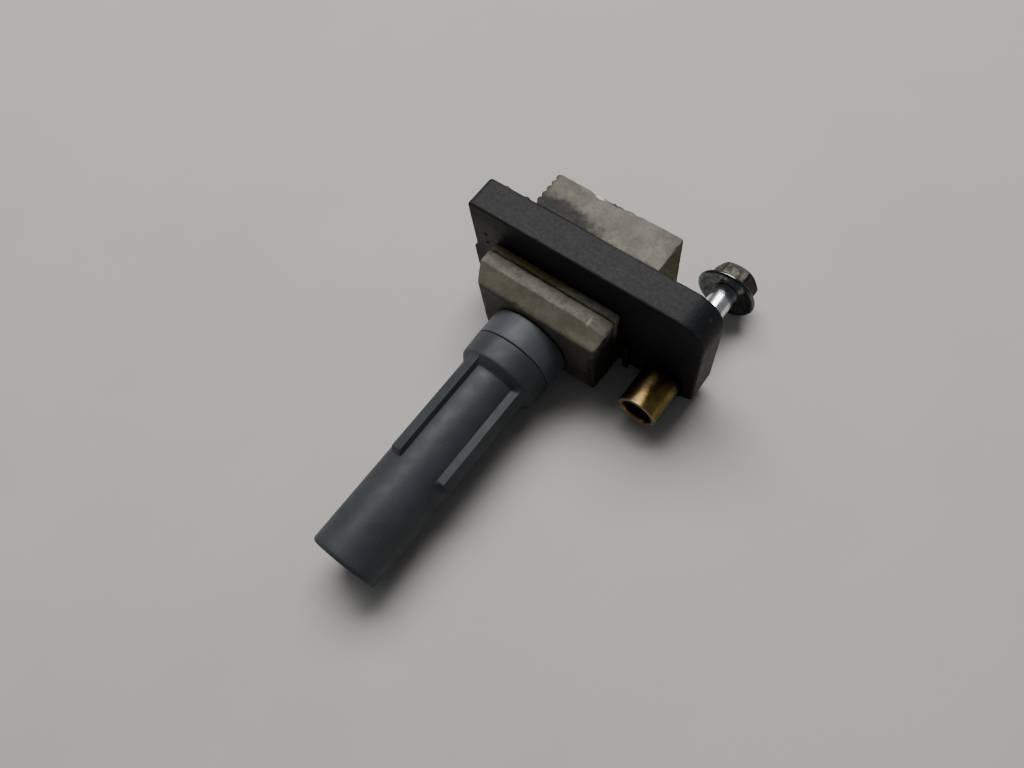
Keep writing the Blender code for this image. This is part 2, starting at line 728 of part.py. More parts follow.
def move_origin(item, point):
    """Bring a piece's origin to a point on its axis, leaving its shape where it is."""
    bpy.context.view_layer.update()
    target = PLACING.matrix_world @ (Vector(point) * MM)
    offset = item.matrix_world.inverted() @ target
    for vertex in item.data.vertices:
        vertex.co -= offset
    item.location = Vector(point) * MM


def make_high_voltage_path():
    """Lead, resistor, terminal, spring and the cup that meets the spark plug."""
    wire = bpy.data.curves.new("hv_lead", "CURVE")
    wire.dimensions = "3D"
    wire.bevel_depth = LEAD_R * MM
    wire.bevel_resolution = 2
    wire.use_fill_caps = True
    route = [(0.0, RESISTOR_HIGH + LEAD_R, 0.0), *LEAD_BENDS]
    spline = wire.splines.new("POLY")
    spline.points.add(len(route) - 1)
    for point, place_at in zip(spline.points, route):
        point.co = (*(Vector(place_at) * MM), 1)
    solid_from_curve("hv_lead", place("hv_lead_route", wire, PARTS), COPPER_WIRE)
    resistor = rod_profile(RESISTOR_R, RESISTOR_HIGH, RESISTOR_LOW, METAL_CHAMFER)
    turned("suppressor_resistor", resistor, CERAMIC_WHITE, steps=FEW_STEPS)
    terminal = [
        (0, TERMINAL_HIGH),
        (TERMINAL_R - METAL_CHAMFER, TERMINAL_HIGH),
        (TERMINAL_R, TERMINAL_HIGH - METAL_CHAMFER),
        (TERMINAL_R, TERMINAL_LOW + METAL_CHAMFER),
        (TERMINAL_R - METAL_CHAMFER, TERMINAL_LOW),
        (BUTTON_R, TERMINAL_LOW),
        (BUTTON_R, BUTTON_END + METAL_CHAMFER),
        (BUTTON_R - METAL_CHAMFER, BUTTON_END),
        (0, BUTTON_END),
    ]
    turned("hv_terminal", terminal, TINNED_BRASS, steps=FEW_STEPS)
    contact = [
        (0, CONTACT_HIGH),
        (CONTACT_R - EDGE_ROUND, CONTACT_HIGH),
        (CONTACT_R, CONTACT_HIGH - EDGE_ROUND),
        (CONTACT_R, CONTACT_LOW),
        (CONTACT_SOCKET_R, CONTACT_LOW),
        (CONTACT_SOCKET_R, CONTACT_SOCKET_TOP),
        (0, CONTACT_SOCKET_TOP),
    ]
    turned("plug_contact", contact, TINNED_BRASS, steps=SMALL_STEPS)


def make_contact_spring():
    """The coil spring that presses the cup onto the plug's terminal."""
    wire = bpy.data.curves.new("contact_spring", "CURVE")
    wire.dimensions = "3D"
    wire.bevel_depth = SPRING_WIRE_R * MM
    wire.bevel_resolution = 2
    wire.use_fill_caps = True
    count = SPRING_TURNS * SPRING_POINTS_PER_TURN
    spline = wire.splines.new("POLY")
    spline.points.add(count)
    for index, point in enumerate(spline.points):
        share = index / count
        angle = 2 * math.pi * SPRING_TURNS * share
        y = SPRING_HIGH + (SPRING_LOW - SPRING_HIGH) * share
        point.co = (SPRING_R * math.cos(angle) * MM, y * MM, SPRING_R * math.sin(angle) * MM, 1)
    solid_from_curve("contact_spring", place("contact_spring_route", wire, PARTS), ZINC_STEEL)


def rib_outline(section_deg, turn_deg):
    """One rib's section in X and Z: foot, crest edge, crest middle, crest edge, foot."""
    foot_a, crest_a, crest_b, foot_b = section_deg
    corners = (
        (RIB_FOOT_R, foot_a),
        (TUBE_R, foot_a),
        (RIB_CREST_R, crest_a),
        (RIB_CREST_R, (crest_a + crest_b) / 2),
        (RIB_CREST_R, crest_b),
        (TUBE_R, foot_b),
        (RIB_FOOT_R, foot_b),
    )
    points = []
    for radius, degrees in corners:
        angle = math.radians(degrees + turn_deg)
        points.append((radius * math.cos(angle), radius * math.sin(angle)))
    return points


def make_boot():
    """The rubber boot: a collar, four ribs down half the tube, and the plug socket."""
    outer = [
        (0, BOOT_HIGH),
        (RING_R - BOOT_EDGE, BOOT_HIGH),
        (RING_R, BOOT_HIGH - BOOT_EDGE),
        (COLLAR_END_R, COLLAR_LOW),
        (TUBE_R, RAMP_END),
        (TUBE_R, BOOT_TIP + TIP_CHAMFER),
        (TUBE_R - TIP_CHAMFER * TIP_ROUND_SHARE, BOOT_TIP + TIP_CHAMFER * TIP_ROUND_SHARE),
        (TUBE_R - TIP_CHAMFER, BOOT_TIP),
        (0, BOOT_TIP),
    ]
    boot = turned("boot", outer, BOOT_RUBBER)
    for index, section in enumerate(RIB_SECTIONS_DEG):
        for turn in (0, 180):
            outline = rib_outline(section, turn)
            rib = prism(f"boot_rib_{index}_{turn}", outline, RIB_END, COLLAR_LOW + CUT_PAST)
            combine(boot, rib, "UNION")
    cut_round(boot, TOWER_SOCKET_R, BOOT_HIGH + CUT_PAST, TOWER_SOCKET_END, label="tower_socket")
    cut_round(boot, SPRING_BORE_R, TOWER_SOCKET_END + CUT_PAST, SPRING_BORE_END, label="spring_bore")
    cut_round(boot, PLUG_BORE_R, SPRING_BORE_END + CUT_PAST, BOOT_TIP - CUT_PAST, label="plug_bore")
    turned("seal_ring", tube_profile(RING_R, TOWER_SOCKET_R, RING_HIGH, RING_LOW, BOOT_EDGE), BOOT_RUBBER)


def shade_smooth(angle_deg=35):
    for item in PARTS.objects:
        if item.type == "MESH":
            item.data.shade_smooth()
            item.data.set_sharp_from_angle(angle=math.radians(angle_deg))


make_flange_plate()
make_lower_case()
make_inner_case()
make_head_cover()
make_connector()
make_core()
make_bobbin("primary_bobbin", PRIMARY_HALVES)
make_winding("primary_winding", PRIMARY_WIRE_HALVES)
make_bobbin("secondary_bobbin", SECONDARY_HALVES)
make_winding("secondary_winding", SECONDARY_WIRE_HALVES)
make_igniter()
make_mount_sleeve()
make_bolt()
make_high_voltage_path()
make_contact_spring()
make_boot()
shade_smooth()
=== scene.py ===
"""Looks of the plug-top ignition coil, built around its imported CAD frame, in metres."""

import math

import bmesh
import bpy
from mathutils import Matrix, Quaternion, Vector, noise


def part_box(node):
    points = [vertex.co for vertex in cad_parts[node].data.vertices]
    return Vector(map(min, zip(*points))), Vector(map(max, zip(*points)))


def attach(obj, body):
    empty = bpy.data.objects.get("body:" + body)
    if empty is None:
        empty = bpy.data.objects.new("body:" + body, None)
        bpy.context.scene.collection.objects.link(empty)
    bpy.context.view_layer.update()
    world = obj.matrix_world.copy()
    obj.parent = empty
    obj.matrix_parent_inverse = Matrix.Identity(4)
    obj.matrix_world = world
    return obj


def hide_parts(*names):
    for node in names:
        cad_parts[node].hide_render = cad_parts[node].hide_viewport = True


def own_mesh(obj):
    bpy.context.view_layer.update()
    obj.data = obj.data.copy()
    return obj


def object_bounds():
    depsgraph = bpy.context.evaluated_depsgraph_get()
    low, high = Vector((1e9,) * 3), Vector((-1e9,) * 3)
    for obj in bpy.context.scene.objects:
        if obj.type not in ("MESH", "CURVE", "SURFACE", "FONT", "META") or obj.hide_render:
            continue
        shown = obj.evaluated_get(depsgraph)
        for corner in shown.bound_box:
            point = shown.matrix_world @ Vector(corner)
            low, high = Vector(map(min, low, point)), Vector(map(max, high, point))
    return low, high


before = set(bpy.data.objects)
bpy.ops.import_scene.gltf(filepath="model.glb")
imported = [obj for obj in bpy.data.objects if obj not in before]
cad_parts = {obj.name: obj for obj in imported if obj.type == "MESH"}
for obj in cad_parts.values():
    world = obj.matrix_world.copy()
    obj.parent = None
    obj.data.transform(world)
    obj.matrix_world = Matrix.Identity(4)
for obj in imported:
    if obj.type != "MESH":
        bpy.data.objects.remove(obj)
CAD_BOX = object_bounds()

MM = 0.001
SCENE = bpy.context.scene

# Axes of the coil, from the CAD pieces
BOOT_LOW, BOOT_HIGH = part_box("boot")
PLUG_X = (BOOT_LOW.x + BOOT_HIGH.x) / 2
PLUG_Z = (BOOT_LOW.z + BOOT_HIGH.z) / 2
SLEEVE_LOW, SLEEVE_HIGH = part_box("mount_sleeve")
BOLT_X = (SLEEVE_LOW.x + SLEEVE_HIGH.x) / 2
BOLT_Z = (SLEEVE_LOW.z + SLEEVE_HIGH.z) / 2
WASHER_LOW, WASHER_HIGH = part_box("bolt_washer")
HEAD_LOW = Vector((BOLT_X, WASHER_HIGH.y + 0.3 * MM, BOLT_Z))
BOLT_BOX_LOW, BOLT_BOX_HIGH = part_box("bolt")
BLOCK_LOW, BLOCK_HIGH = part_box("lower_case")
COVER_LOW, COVER_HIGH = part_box("head_cover")
PLATE_LOW, PLATE_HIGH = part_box("flange_plate")
SHELL_LOW, SHELL_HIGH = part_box("connector_shell")
PLATE_FACE_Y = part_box("inner_case")[0].y + 2.0 * MM
PLATE_LEFT_X = PLATE_LOW.x + 1.1 * MM
TOWER_LENGTH = 19.8 * MM
BLOCK_FRONT_Y = BLOCK_LOW.y + TOWER_LENGTH

# Boot and ring, in millimetres and degrees; a rib section is foot, crest, crest, foot round the axis
TUBE_R = 8.2
COLLAR_R = 10.05
RING_BORE_R = 6.9
RIB_CREST_R = 9.45
RIB_SECTIONS = ((10.5, 13.0, 32.0, 40.2), (107.2, 109.0, 128.0, 130.5))
RIB_CORNER_DEG = 0.6
PARTING_DEG = (0.9, 1.8, 178.2, 179.1)
PARTING_RIDGE = 0.10
RING_RIDGE = 0.06
RIDGE_HALF_WIDTH = 0.16
RING_OVERLAP = 0.2
ROW_STEP = 1.3

# Bolt and sleeve, in millimetres
HEX_HALF_FLATS = 5.0
HEX_CORNER_R = 5.66
CROWN_R = 4.15
CROWN_SLOPE = math.tan(math.radians(30))
SHANK_R = 2.96
TIP_R = 2.35
THREAD_FROM = 18.0
THREAD_PITCH = 1.0
THREAD_DEPTH = 0.58
THREAD_RUN_IN = 1.4
THREAD_ROWS_PER_TURN = 10
SLEEVE_R = 4.82
SLEEVE_BORE_R = 3.6

# Mesh detail
FILLET_SHARE = 0.42
FILLET_SUPPORT = 1.15
ROD_STEPS = 32
FINE_STEPS = 96

# Setting
FLOOR_COLOUR = (0.385, 0.375, 0.350)
FLOOR_HALF = 1.5
CAMERA_AZIMUTH = 50.2
CAMERA_ELEVATION = 64.2
CAMERA_ROLL = -13.65
CAMERA_DISTANCE = 0.175
CAMERA_LENS = 27.0
TARGET = Vector((-0.0027, 0.0, 0.0085))


# ---------------------------------------------------------------- mesh helpers


def new_object(name, mesh):
    item = bpy.data.objects.new(name, mesh)
    SCENE.collection.objects.link(item)
    return item


def smooth_shaded(mesh, angle_deg=None):
    mesh.shade_smooth()
    if angle_deg:
        mesh.set_sharp_from_angle(angle=math.radians(angle_deg))


def skin(name, rings, closed):
    """A surface through rings of points: closed joins the last ring to the first, else poles end it."""
    mesh = bpy.data.meshes.new(name)
    shape = bmesh.new()
    rows = [[shape.verts.new(point) for point in ring] for ring in rings]
    count = len(rows[0])
    pairs = list(zip(rows, rows[1:]))
    if closed:
        pairs.append((rows[-1], rows[0]))
    for upper, lower in pairs:
        for index in range(count):
            after = (index + 1) % count
            shape.faces.new((upper[index], upper[after], lower[after], lower[index]))
    if not closed:
        for row in (rows[0], rows[-1]):
            middle = sum((vertex.co for vertex in row), Vector()) / count
            pole = shape.verts.new(middle)
            for index in range(count):
                shape.faces.new((row[index], row[(index + 1) % count], pole))
    bmesh.ops.recalc_face_normals(shape, faces=shape.faces)
    shape.to_mesh(mesh)
    shape.free()
    return new_object(name, mesh)


def ring_points(radius, y, x, z, angles):
    """Points round an axis along Y. The radius is in millimetres, or a function of the angle; y likewise."""
    points = []
    for angle in angles:
        r = radius(angle) if callable(radius) else radius
        level = y(angle) if callable(y) else y
        points.append(Vector((x + r * MM * math.cos(angle), level, z + r * MM * math.sin(angle))))
    return points


def round_angles(count):
    return [2 * math.pi * index / count for index in range(count)]


def filleted(profile, radius, steps=3):
    """A loop of (radius, y) points in millimetres with rounded corners and a support point beside each."""
    points = []
    count = len(profile)
    for index, corner in enumerate(profile):
        here = Vector(corner)
        before = Vector(profile[index - 1])
        after = Vector(profile[(index + 1) % count])
        back = before - here
        on = after - here
        reach = min(radius, back.length * FILLET_SHARE, on.length * FILLET_SHARE)
        start = here + back.normalized() * reach
        end = here + on.normalized() * reach
        points.append(here + back.normalized() * reach * FILLET_SUPPORT)
        for step in range(steps + 1):
            share = step / steps
            points.append(start * (1 - share) ** 2 + here * 2 * share * (1 - share) + end * share**2)
        points.append(here + on.normalized() * reach * FILLET_SUPPORT)
    return points


def turned(name, profile, x, z, y0, fillet, steps):
    """A turned piece: (radius, y) profile in millimetres, y counted from y0 in metres."""
    loop = filleted(profile, fillet)
    angles = round_angles(steps)
    rings = [ring_points(point.x, y0 + point.y * MM, x, z, angles) for point in loop]
    item = skin(name, rings, closed=True)
    smooth_shaded(item.data, 50)
    return item


def cad_copy(name, node):
    """A new object with a welded copy of a CAD node's mesh."""
    mesh = bpy.data.meshes.new(name)
    shape = bmesh.new()
    shape.from_mesh(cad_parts[node].data)
    bmesh.ops.remove_doubles(shape, verts=shape.verts, dist=1e-6)
    shape.to_mesh(mesh)
    shape.free()
    return new_object(name, mesh)


def pebble(centre, radii, seed):
    """A small lump with an uneven surface, to chip an edge with or to leave on it."""
    mesh = bpy.data.meshes.new("pebble")
    shape = bmesh.new()
    bmesh.ops.create_icosphere(shape, subdivisions=3, radius=1.0)
    for vertex in shape.verts:
        push = 1 + 0.35 * noise.noise(vertex.co * 1.3 + Vector((seed * 3.1, seed, 0)))
        vertex.co *= push
        vertex.co = Vector(centre) + Vector(map(lambda a, b: a * b * MM, vertex.co, radii))
    shape.to_mesh(mesh)
    shape.free()
    return new_object("pebble", mesh)


def block(low, high, name="block"):
    """A plain box to join or cut with, between two corners in metres."""
    mesh = bpy.data.meshes.new(name)
    shape = bmesh.new()
    bmesh.ops.create_cube(shape, size=1.0)
    bmesh.ops.scale(shape, vec=Vector(high) - Vector(low), verts=shape.verts)
    bmesh.ops.translate(shape, vec=(Vector(low) + Vector(high)) / 2, verts=shape.verts)
    shape.to_mesh(mesh)
    shape.free()
    return new_object(name, mesh)


def slab(first, second, third, size):
    """A box whose lower face lies in the plane of three points, to plane a body down to them."""
    up = (second - first).cross(third - first).normalized()
    if up.z < 0:
        up.negate()
    tool = block((-size, -size, 0.0), (size, size, size), "slab")
    turn = up.to_track_quat("Z", "Y")
    for vertex in tool.data.vertices:
        vertex.co = turn @ vertex.co + first
    return tool


def rod(centre, radius, low, high):
    """A plain rod along Y to cut with; centre is its X and Z in metres, and the radius is in millimetres."""
    mesh = bpy.data.meshes.new("rod")
    shape = bmesh.new()
    angles = round_angles(ROD_STEPS)
    rings = []
    for level in (low, high):
        ring = [shape.verts.new(point) for point in ring_points(radius, level, *centre, angles)]
        rings.append(ring)
        shape.faces.new(ring)
    for index in range(ROD_STEPS):
        after = (index + 1) % ROD_STEPS
        shape.faces.new((rings[0][index], rings[0][after], rings[1][after], rings[1][index]))
    bmesh.ops.recalc_face_normals(shape, faces=shape.faces)
    shape.to_mesh(mesh)
    shape.free()
    return new_object("rod", mesh)


def bake_modifiers(item):
    """Replace an object's mesh by its evaluated one."""
    bpy.context.view_layer.update()
    evaluated = item.evaluated_get(bpy.context.evaluated_depsgraph_get())
    mesh = bpy.data.meshes.new_from_object(evaluated)
    item.modifiers.clear()
    item.data = mesh
    return item


def join_shapes(item, others, operation):
    for other in others:
        boolean = item.modifiers.new("shape", "BOOLEAN")
        boolean.operation = operation
        boolean.solver = "EXACT"
        boolean.object = other


def worn_body(item, voxel, relax, chip, chip_size, wave, seed):
    """Reskin a body evenly, so that its edges are softly rounded, then chip its edges and wave its flats.

    The voxel, the chips' depth and size and the waves' height are in millimetres.
    """
    remesh = item.modifiers.new("skin", "REMESH")
    remesh.mode = "VOXEL"
    remesh.voxel_size = voxel * MM
    relaxing = item.modifiers.new("relax", "SMOOTH")
    relaxing.factor = 0.5
    relaxing.iterations = relax
    bake_modifiers(item)
    shape = bmesh.new()
    shape.from_mesh(item.data)
    shape.normal_update()
    moves = []
    wave_scale, edge_from, edge_full, bite_from = 0.22, 0.02, 0.12, 0.12
    offset = Vector((seed * 7.7, seed * 1.3, seed * 4.1))
    for vertex in shape.verts:
        around = [edge.other_vert(vertex).co for edge in vertex.link_edges]
        middle = sum(around, Vector()) / len(around)
        bulge = (vertex.co - middle).dot(vertex.normal) / (voxel * MM)
        spot = vertex.co / MM
        push = wave * noise.noise(spot * wave_scale + offset)
        if bulge > edge_from:
            bite = noise.noise(spot / chip_size + offset)
            bite += 0.5 * noise.noise(spot / chip_size * 2.7 + offset)
            push -= chip * min(bulge / edge_full, 1.0) * max(bite - bite_from, 0.0) * 2.2
        moves.append(vertex.normal * push * MM)
    for vertex, move in zip(shape.verts, moves):
        vertex.co += move
    every_axis = {"use_axis_x": True, "use_axis_y": True, "use_axis_z": True}
    bmesh.ops.smooth_vert(shape, verts=shape.verts, factor=0.35, **every_axis)
    shape.to_mesh(item.data)
    shape.free()
    smooth_shaded(item.data)
    return item


def clear_tools(*items):
    for item in items:
        bpy.data.objects.remove(item, do_unlink=True)


# ------------------------------------------------------------ material helpers


class Look:
    """One procedural material, whose textures are placed by the piece's own coordinates."""

    def __init__(self, name):
        self.material = bpy.data.materials.new(name)
        self.material.use_nodes = True
        self.nodes = self.material.node_tree.nodes
        self.links = self.material.node_tree.links
        self.shader = self.nodes["Principled BSDF"]
        self.place = self.nodes.new("ShaderNodeTexCoord").outputs["Object"]
        self.normal = None

    def feed(self, socket, value):
        if isinstance(value, bpy.types.NodeSocket):
            self.links.new(value, socket)
        else:
            socket.default_value = value

    def stretched(self, stretch):
        node = self.nodes.new("ShaderNodeVectorMath")
        node.operation = "MULTIPLY"
        self.links.new(self.place, node.inputs[0])
        node.inputs[1].default_value = stretch
        return node.outputs["Vector"]

    def noise(self, size, detail=4.0, rough=0.55, stretch=None, twist=0.0):
        """Noise with features of about that size in millimetres."""
        node = self.nodes.new("ShaderNodeTexNoise")
        self.links.new(self.stretched(stretch) if stretch else self.place, node.inputs["Vector"])
        node.inputs["Scale"].default_value = 1 / (size * MM)
        node.inputs["Detail"].default_value = detail
        node.inputs["Roughness"].default_value = rough
        node.inputs["Distortion"].default_value = twist
        return node.outputs["Fac"]

    def level(self, value, low, high, to_low=0.0, to_high=1.0):
        """A value eased from one range to another, and held at its ends."""
        node = self.nodes.new("ShaderNodeMapRange")
        node.interpolation_type = "SMOOTHSTEP"
        self.feed(node.inputs["Value"], value)
        node.inputs["From Min"].default_value = low
        node.inputs["From Max"].default_value = high
        node.inputs["To Min"].default_value = to_low
        node.inputs["To Max"].default_value = to_high
        return node.outputs["Result"]

    def maths(self, operation, first, second=0.0):
        node = self.nodes.new("ShaderNodeMath")
        node.operation = operation
        self.feed(node.inputs[0], first)
        self.feed(node.inputs[1], second)
        return node.outputs["Value"]

    def blend(self, share, first, second):
        """One colour over another."""
        node = self.nodes.new("ShaderNodeMix")
        node.data_type = "RGBA"
        self.feed(node.inputs["Factor"], share)
        colours = [socket for socket in node.inputs if socket.type == "RGBA"]
        for socket, colour in zip(colours, (first, second)):
            self.feed(socket, (*colour, 1.0) if isinstance(colour, tuple) else colour)
        return next(socket for socket in node.outputs if socket.type == "RGBA")

    def over(self, base, mask, share, colour):
        """The base with a colour laid over it where the mask is, at that share."""
        return self.blend(self.maths("MULTIPLY", mask, share), base, colour)

    def spot(self, centre, radii, soft, breakup, grain):
        """1 inside a soft patch round a point in metres, 0 outside; radii in millimetres."""
        away = self.nodes.new("ShaderNodeVectorMath")
        away.operation = "SUBTRACT"
        self.links.new(self.place, away.inputs[0])
        away.inputs[1].default_value = centre
        scaled = self.nodes.new("ShaderNodeVectorMath")
        scaled.operation = "DIVIDE"
        self.links.new(away.outputs["Vector"], scaled.inputs[0])
        scaled.inputs[1].default_value = [r * MM for r in radii]
        length = self.nodes.new("ShaderNodeVectorMath")
        length.operation = "LENGTH"
        self.links.new(scaled.outputs["Vector"], length.inputs[0])
        ragged = self.maths("MULTIPLY", self.maths("SUBTRACT", self.noise(grain, 5), 0.5), breakup)
        distance = self.maths("ADD", length.outputs["Value"], ragged)
        return self.level(distance, 1 - soft, 1.0, 1.0, 0.0)

    def axis(self, letter):
        node = self.nodes.new("ShaderNodeSeparateXYZ")
        self.links.new(self.place, node.inputs[0])
        return node.outputs[letter]

    def radius(self, x, z):
        """Distance in metres from an axis along Y."""
        parts = self.nodes.new("ShaderNodeSeparateXYZ")
        self.links.new(self.place, parts.inputs[0])
        across = self.maths("POWER", self.maths("SUBTRACT", parts.outputs["X"], x), 2.0)
        up = self.maths("POWER", self.maths("SUBTRACT", parts.outputs["Z"], z), 2.0)
        return self.maths("SQRT", self.maths("ADD", across, up))

    def pointiness(self):
        return self.nodes.new("ShaderNodeNewGeometry").outputs["Pointiness"]

    def edges(self, low, high):
        """1 on worn outer edges."""
        return self.level(self.pointiness(), low, high)

    def bump(self, height, depth, strength=1.0):
        """Adds relief of that depth in millimetres to the surface."""
        node = self.nodes.new("ShaderNodeBump")
        node.inputs["Strength"].default_value = strength
        node.inputs["Distance"].default_value = depth * MM
        self.feed(node.inputs["Height"], height)
        if self.normal:
            self.links.new(self.normal, node.inputs["Normal"])
        self.normal = node.outputs["Normal"]

    def done(self, colour, roughness, metallic=0.0, **uniform):
        self.feed(self.shader.inputs["Base Color"], colour)
        self.feed(self.shader.inputs["Roughness"], roughness)
        self.shader.inputs["Metallic"].default_value = metallic
        for name, value in uniform.items():
            self.shader.inputs[name.replace("_", " ")].default_value = value
        if self.normal:
            self.links.new(self.normal, self.shader.inputs["Normal"])
        return self.material


def wear(piece, material):
    piece.data.materials.clear()
    piece.data.materials.append(material)


def stand_in(piece, body, nodes, material):
    """A detailed piece takes the place of CAD nodes."""
    wear(piece, material)
    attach(piece, body)
    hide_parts(*nodes)
    return piece


# ------------------------------------------------------------------- materials


def black_plastic_look(name, dust_and_light_patches=()):
    """Matt black moulding with scuffs, haze and pale specks; its second argument lists its soft patches, of
    dust and of painted light.
    """
    look = Look(name)
    drift = look.noise(14, 3)
    base = look.blend(look.level(drift, 0.35, 0.65), (0.0066, 0.0072, 0.0090), (0.0084, 0.0092, 0.0114))
    scuffs = look.level(look.noise(0.5, 5, 0.65, (0.05, 1.0, 1.0)), 0.58, 0.76)
    base = look.over(base, scuffs, 0.7, (0.046, 0.048, 0.054))
    haze = look.level(look.noise(0.9, 5, 0.7, (0.35, 1.0, 1.0)), 0.48, 0.74)
    base = look.over(base, haze, 0.30, (0.024, 0.0245, 0.027))
    specks = look.level(look.noise(0.42, 1), 0.76, 0.80)
    base = look.over(base, specks, 0.4, (0.16, 0.155, 0.14))
    rim = look.maths("MULTIPLY", look.edges(0.52, 0.60), look.level(look.noise(1.4, 4), 0.42, 0.64))
    base = look.over(base, rim, 0.4, (0.050, 0.050, 0.052))
    for centre, radii, colour, share, soft in dust_and_light_patches:
        patch = look.spot(centre, radii, soft, 0.5, 1.6)
        base = look.over(base, patch, share, colour)
    look.bump(look.noise(0.30, 3, 0.6), 0.045, 0.5)
    look.bump(look.noise(0.45, 4, 0.6, (0.05, 1.0, 1.0)), 0.035, 0.6)
    rough = look.level(look.noise(0.8, 5, 0.6), 0.3, 0.7, 0.50, 0.58)
    return look.done(base, rough, 0.0, Specular_IOR_Level=0.16)


def case_plastic_look(name, stains_and_shade=(), tint=(1.0, 1.0, 1.0), bevel_y=None):
    """Weathered grey-tan moulding; its bevel is darker than its top as painted shade, its hollows are
    darkened as painted shade, and its second argument lists its patches of stain and of painted shade.
    """
    look = Look(name)
    light = tuple(a * b for a, b in zip((0.170, 0.158, 0.130), tint))
    dark = tuple(a * b for a, b in zip((0.110, 0.101, 0.080), tint))
    base = look.blend(look.level(look.noise(4, 5, 0.65), 0.36, 0.64), dark, light)
    mottle = look.level(look.noise(1.3, 6, 0.72, twist=0.8), 0.48, 0.66)
    base = look.over(base, mottle, 0.52, (0.058, 0.052, 0.038))
    grime = look.level(look.noise(0.42, 5, 0.7), 0.55, 0.72)
    base = look.over(base, grime, 0.50, (0.042, 0.037, 0.027))
    chalk = look.level(look.noise(0.9, 4, 0.6), 0.60, 0.74)
    base = look.over(base, chalk, 0.30, (0.25, 0.242, 0.215))
    rim = look.maths("MULTIPLY", look.edges(0.515, 0.58), look.level(look.noise(1.1, 4), 0.38, 0.6))
    base = look.over(base, rim, 0.55, (0.24, 0.226, 0.19))
    if bevel_y is not None:
        # Painted shade: the bevel and the front face past bevel_y face away from the light and are darkened.
        ragged = look.maths("MULTIPLY", look.noise(1.2, 5), 0.6 * MM)
        front = look.level(look.maths("ADD", look.axis("Y"), ragged), bevel_y, bevel_y + 0.4 * MM, 1.0, 0.0)
        base = look.over(base, front, 0.62, (0.044, 0.044, 0.028))
    # Painted shade: concave hollows, found by pointiness, are darkened.
    hollow_shade = look.level(look.pointiness(), 0.40, 0.485, 1.0, 0.0)
    base = look.over(base, hollow_shade, 0.8, (0.016, 0.015, 0.011))
    for centre, radii, colour, share, soft, grain in stains_and_shade:
        patch = look.spot(centre, radii, soft, 0.7, grain)
        base = look.over(base, patch, share, colour)
    look.bump(look.noise(0.30, 3, 0.6), 0.06, 0.6)
    look.bump(look.noise(1.4, 5, 0.65), 0.10, 0.5)
    rough = look.level(look.noise(1.2, 5), 0.3, 0.7, 0.56, 0.68)
    return look.done(base, rough, 0.0, Specular_IOR_Level=0.22)


def silicone_look(name, pale=1.0):
    """Dark grey-blue rubber with dust and handling marks."""
    look = Look(name)
    tones = ((0.025, 0.029, 0.032), (0.033, 0.038, 0.042))
    dark, light = (tuple(pale * part for part in tone) for tone in tones)
    base = look.blend(look.level(look.noise(16, 3), 0.35, 0.65), dark, light)
    dust = look.level(look.noise(2.6, 6, 0.7), 0.52, 0.74)
    base = look.over(base, dust, 0.22, (0.062, 0.065, 0.066))
    marks = look.level(look.noise(0.5, 4, 0.6, (1.0, 0.12, 1.0)), 0.60, 0.74)
    base = look.over(base, marks, 0.30, (0.068, 0.070, 0.071))
    specks = look.level(look.noise(0.45, 1), 0.75, 0.79)
    base = look.over(base, specks, 0.35, (0.15, 0.145, 0.13))
    rim = look.level(look.noise(0.8, 3), 0.35, 0.6)
    worn = look.maths("MULTIPLY", look.edges(0.53, 0.62), rim)
    base = look.over(base, worn, 0.35, (0.075, 0.078, 0.080))
    look.bump(look.noise(0.25, 2, 0.5), 0.03, 0.35)
    look.bump(look.noise(2.2, 4, 0.6), 0.05, 0.3)
    rough = look.level(look.noise(3.5, 5), 0.3, 0.7, 0.42, 0.56)
    return look.done(base, rough, 0.0, Specular_IOR_Level=0.24)


def sleeve_look():
    """Yellow-brown metal, darker towards the plate and reddish in the bore."""
    look = Look("heat_tinted_brass")
    y = look.axis("Y")
    base = look.blend(
        look.level(look.noise(3.5, 4, 0.6), 0.38, 0.62), (0.150, 0.098, 0.026),
        (0.245, 0.175, 0.055),
    )
    across = look.maths("ADD", look.axis("X"), look.maths("MULTIPLY", look.noise(2.4, 3), 4 * MM))
    tint = look.level(across, BOLT_X + 0.2 * MM, BOLT_X + 4.2 * MM, 1.0, 0.0)
    base = look.over(base, tint, 0.65, (0.062, 0.036, 0.034))
    along = look.maths("ADD", y, look.maths("MULTIPLY", look.noise(1.8, 4), 4 * MM))
    upper = look.level(along, SLEEVE_LOW.y + 7 * MM, SLEEVE_LOW.y + 12.5 * MM)
    base = look.over(base, upper, 0.85, (0.020, 0.012, 0.007))
    grime = look.level(look.noise(0.7, 5, 0.7), 0.52, 0.72)
    base = look.over(base, grime, 0.5, (0.050, 0.034, 0.014))
    inner = look.level(look.radius(BOLT_X, BOLT_Z), 3.9 * MM, 4.3 * MM, 1.0, 0.0)
    base = look.over(base, inner, 0.75, (0.30, 0.130, 0.050))
    rim = look.level(y, SLEEVE_LOW.y + 0.1 * MM, SLEEVE_LOW.y + 0.4 * MM, 1.0, 0.0)
    base = look.over(base, rim, 0.6, (0.30, 0.25, 0.15))
    look.bump(look.noise(0.3, 4, 0.6, (1.0, 4.0, 1.0)), 0.02, 0.5)
    look.bump(look.noise(1.2, 5, 0.6), 0.03, 0.4)
    rough = look.level(look.noise(2.6, 3, 0.5), 0.35, 0.7, 0.26, 0.34)
    return look.done(base, rough, 0.95)


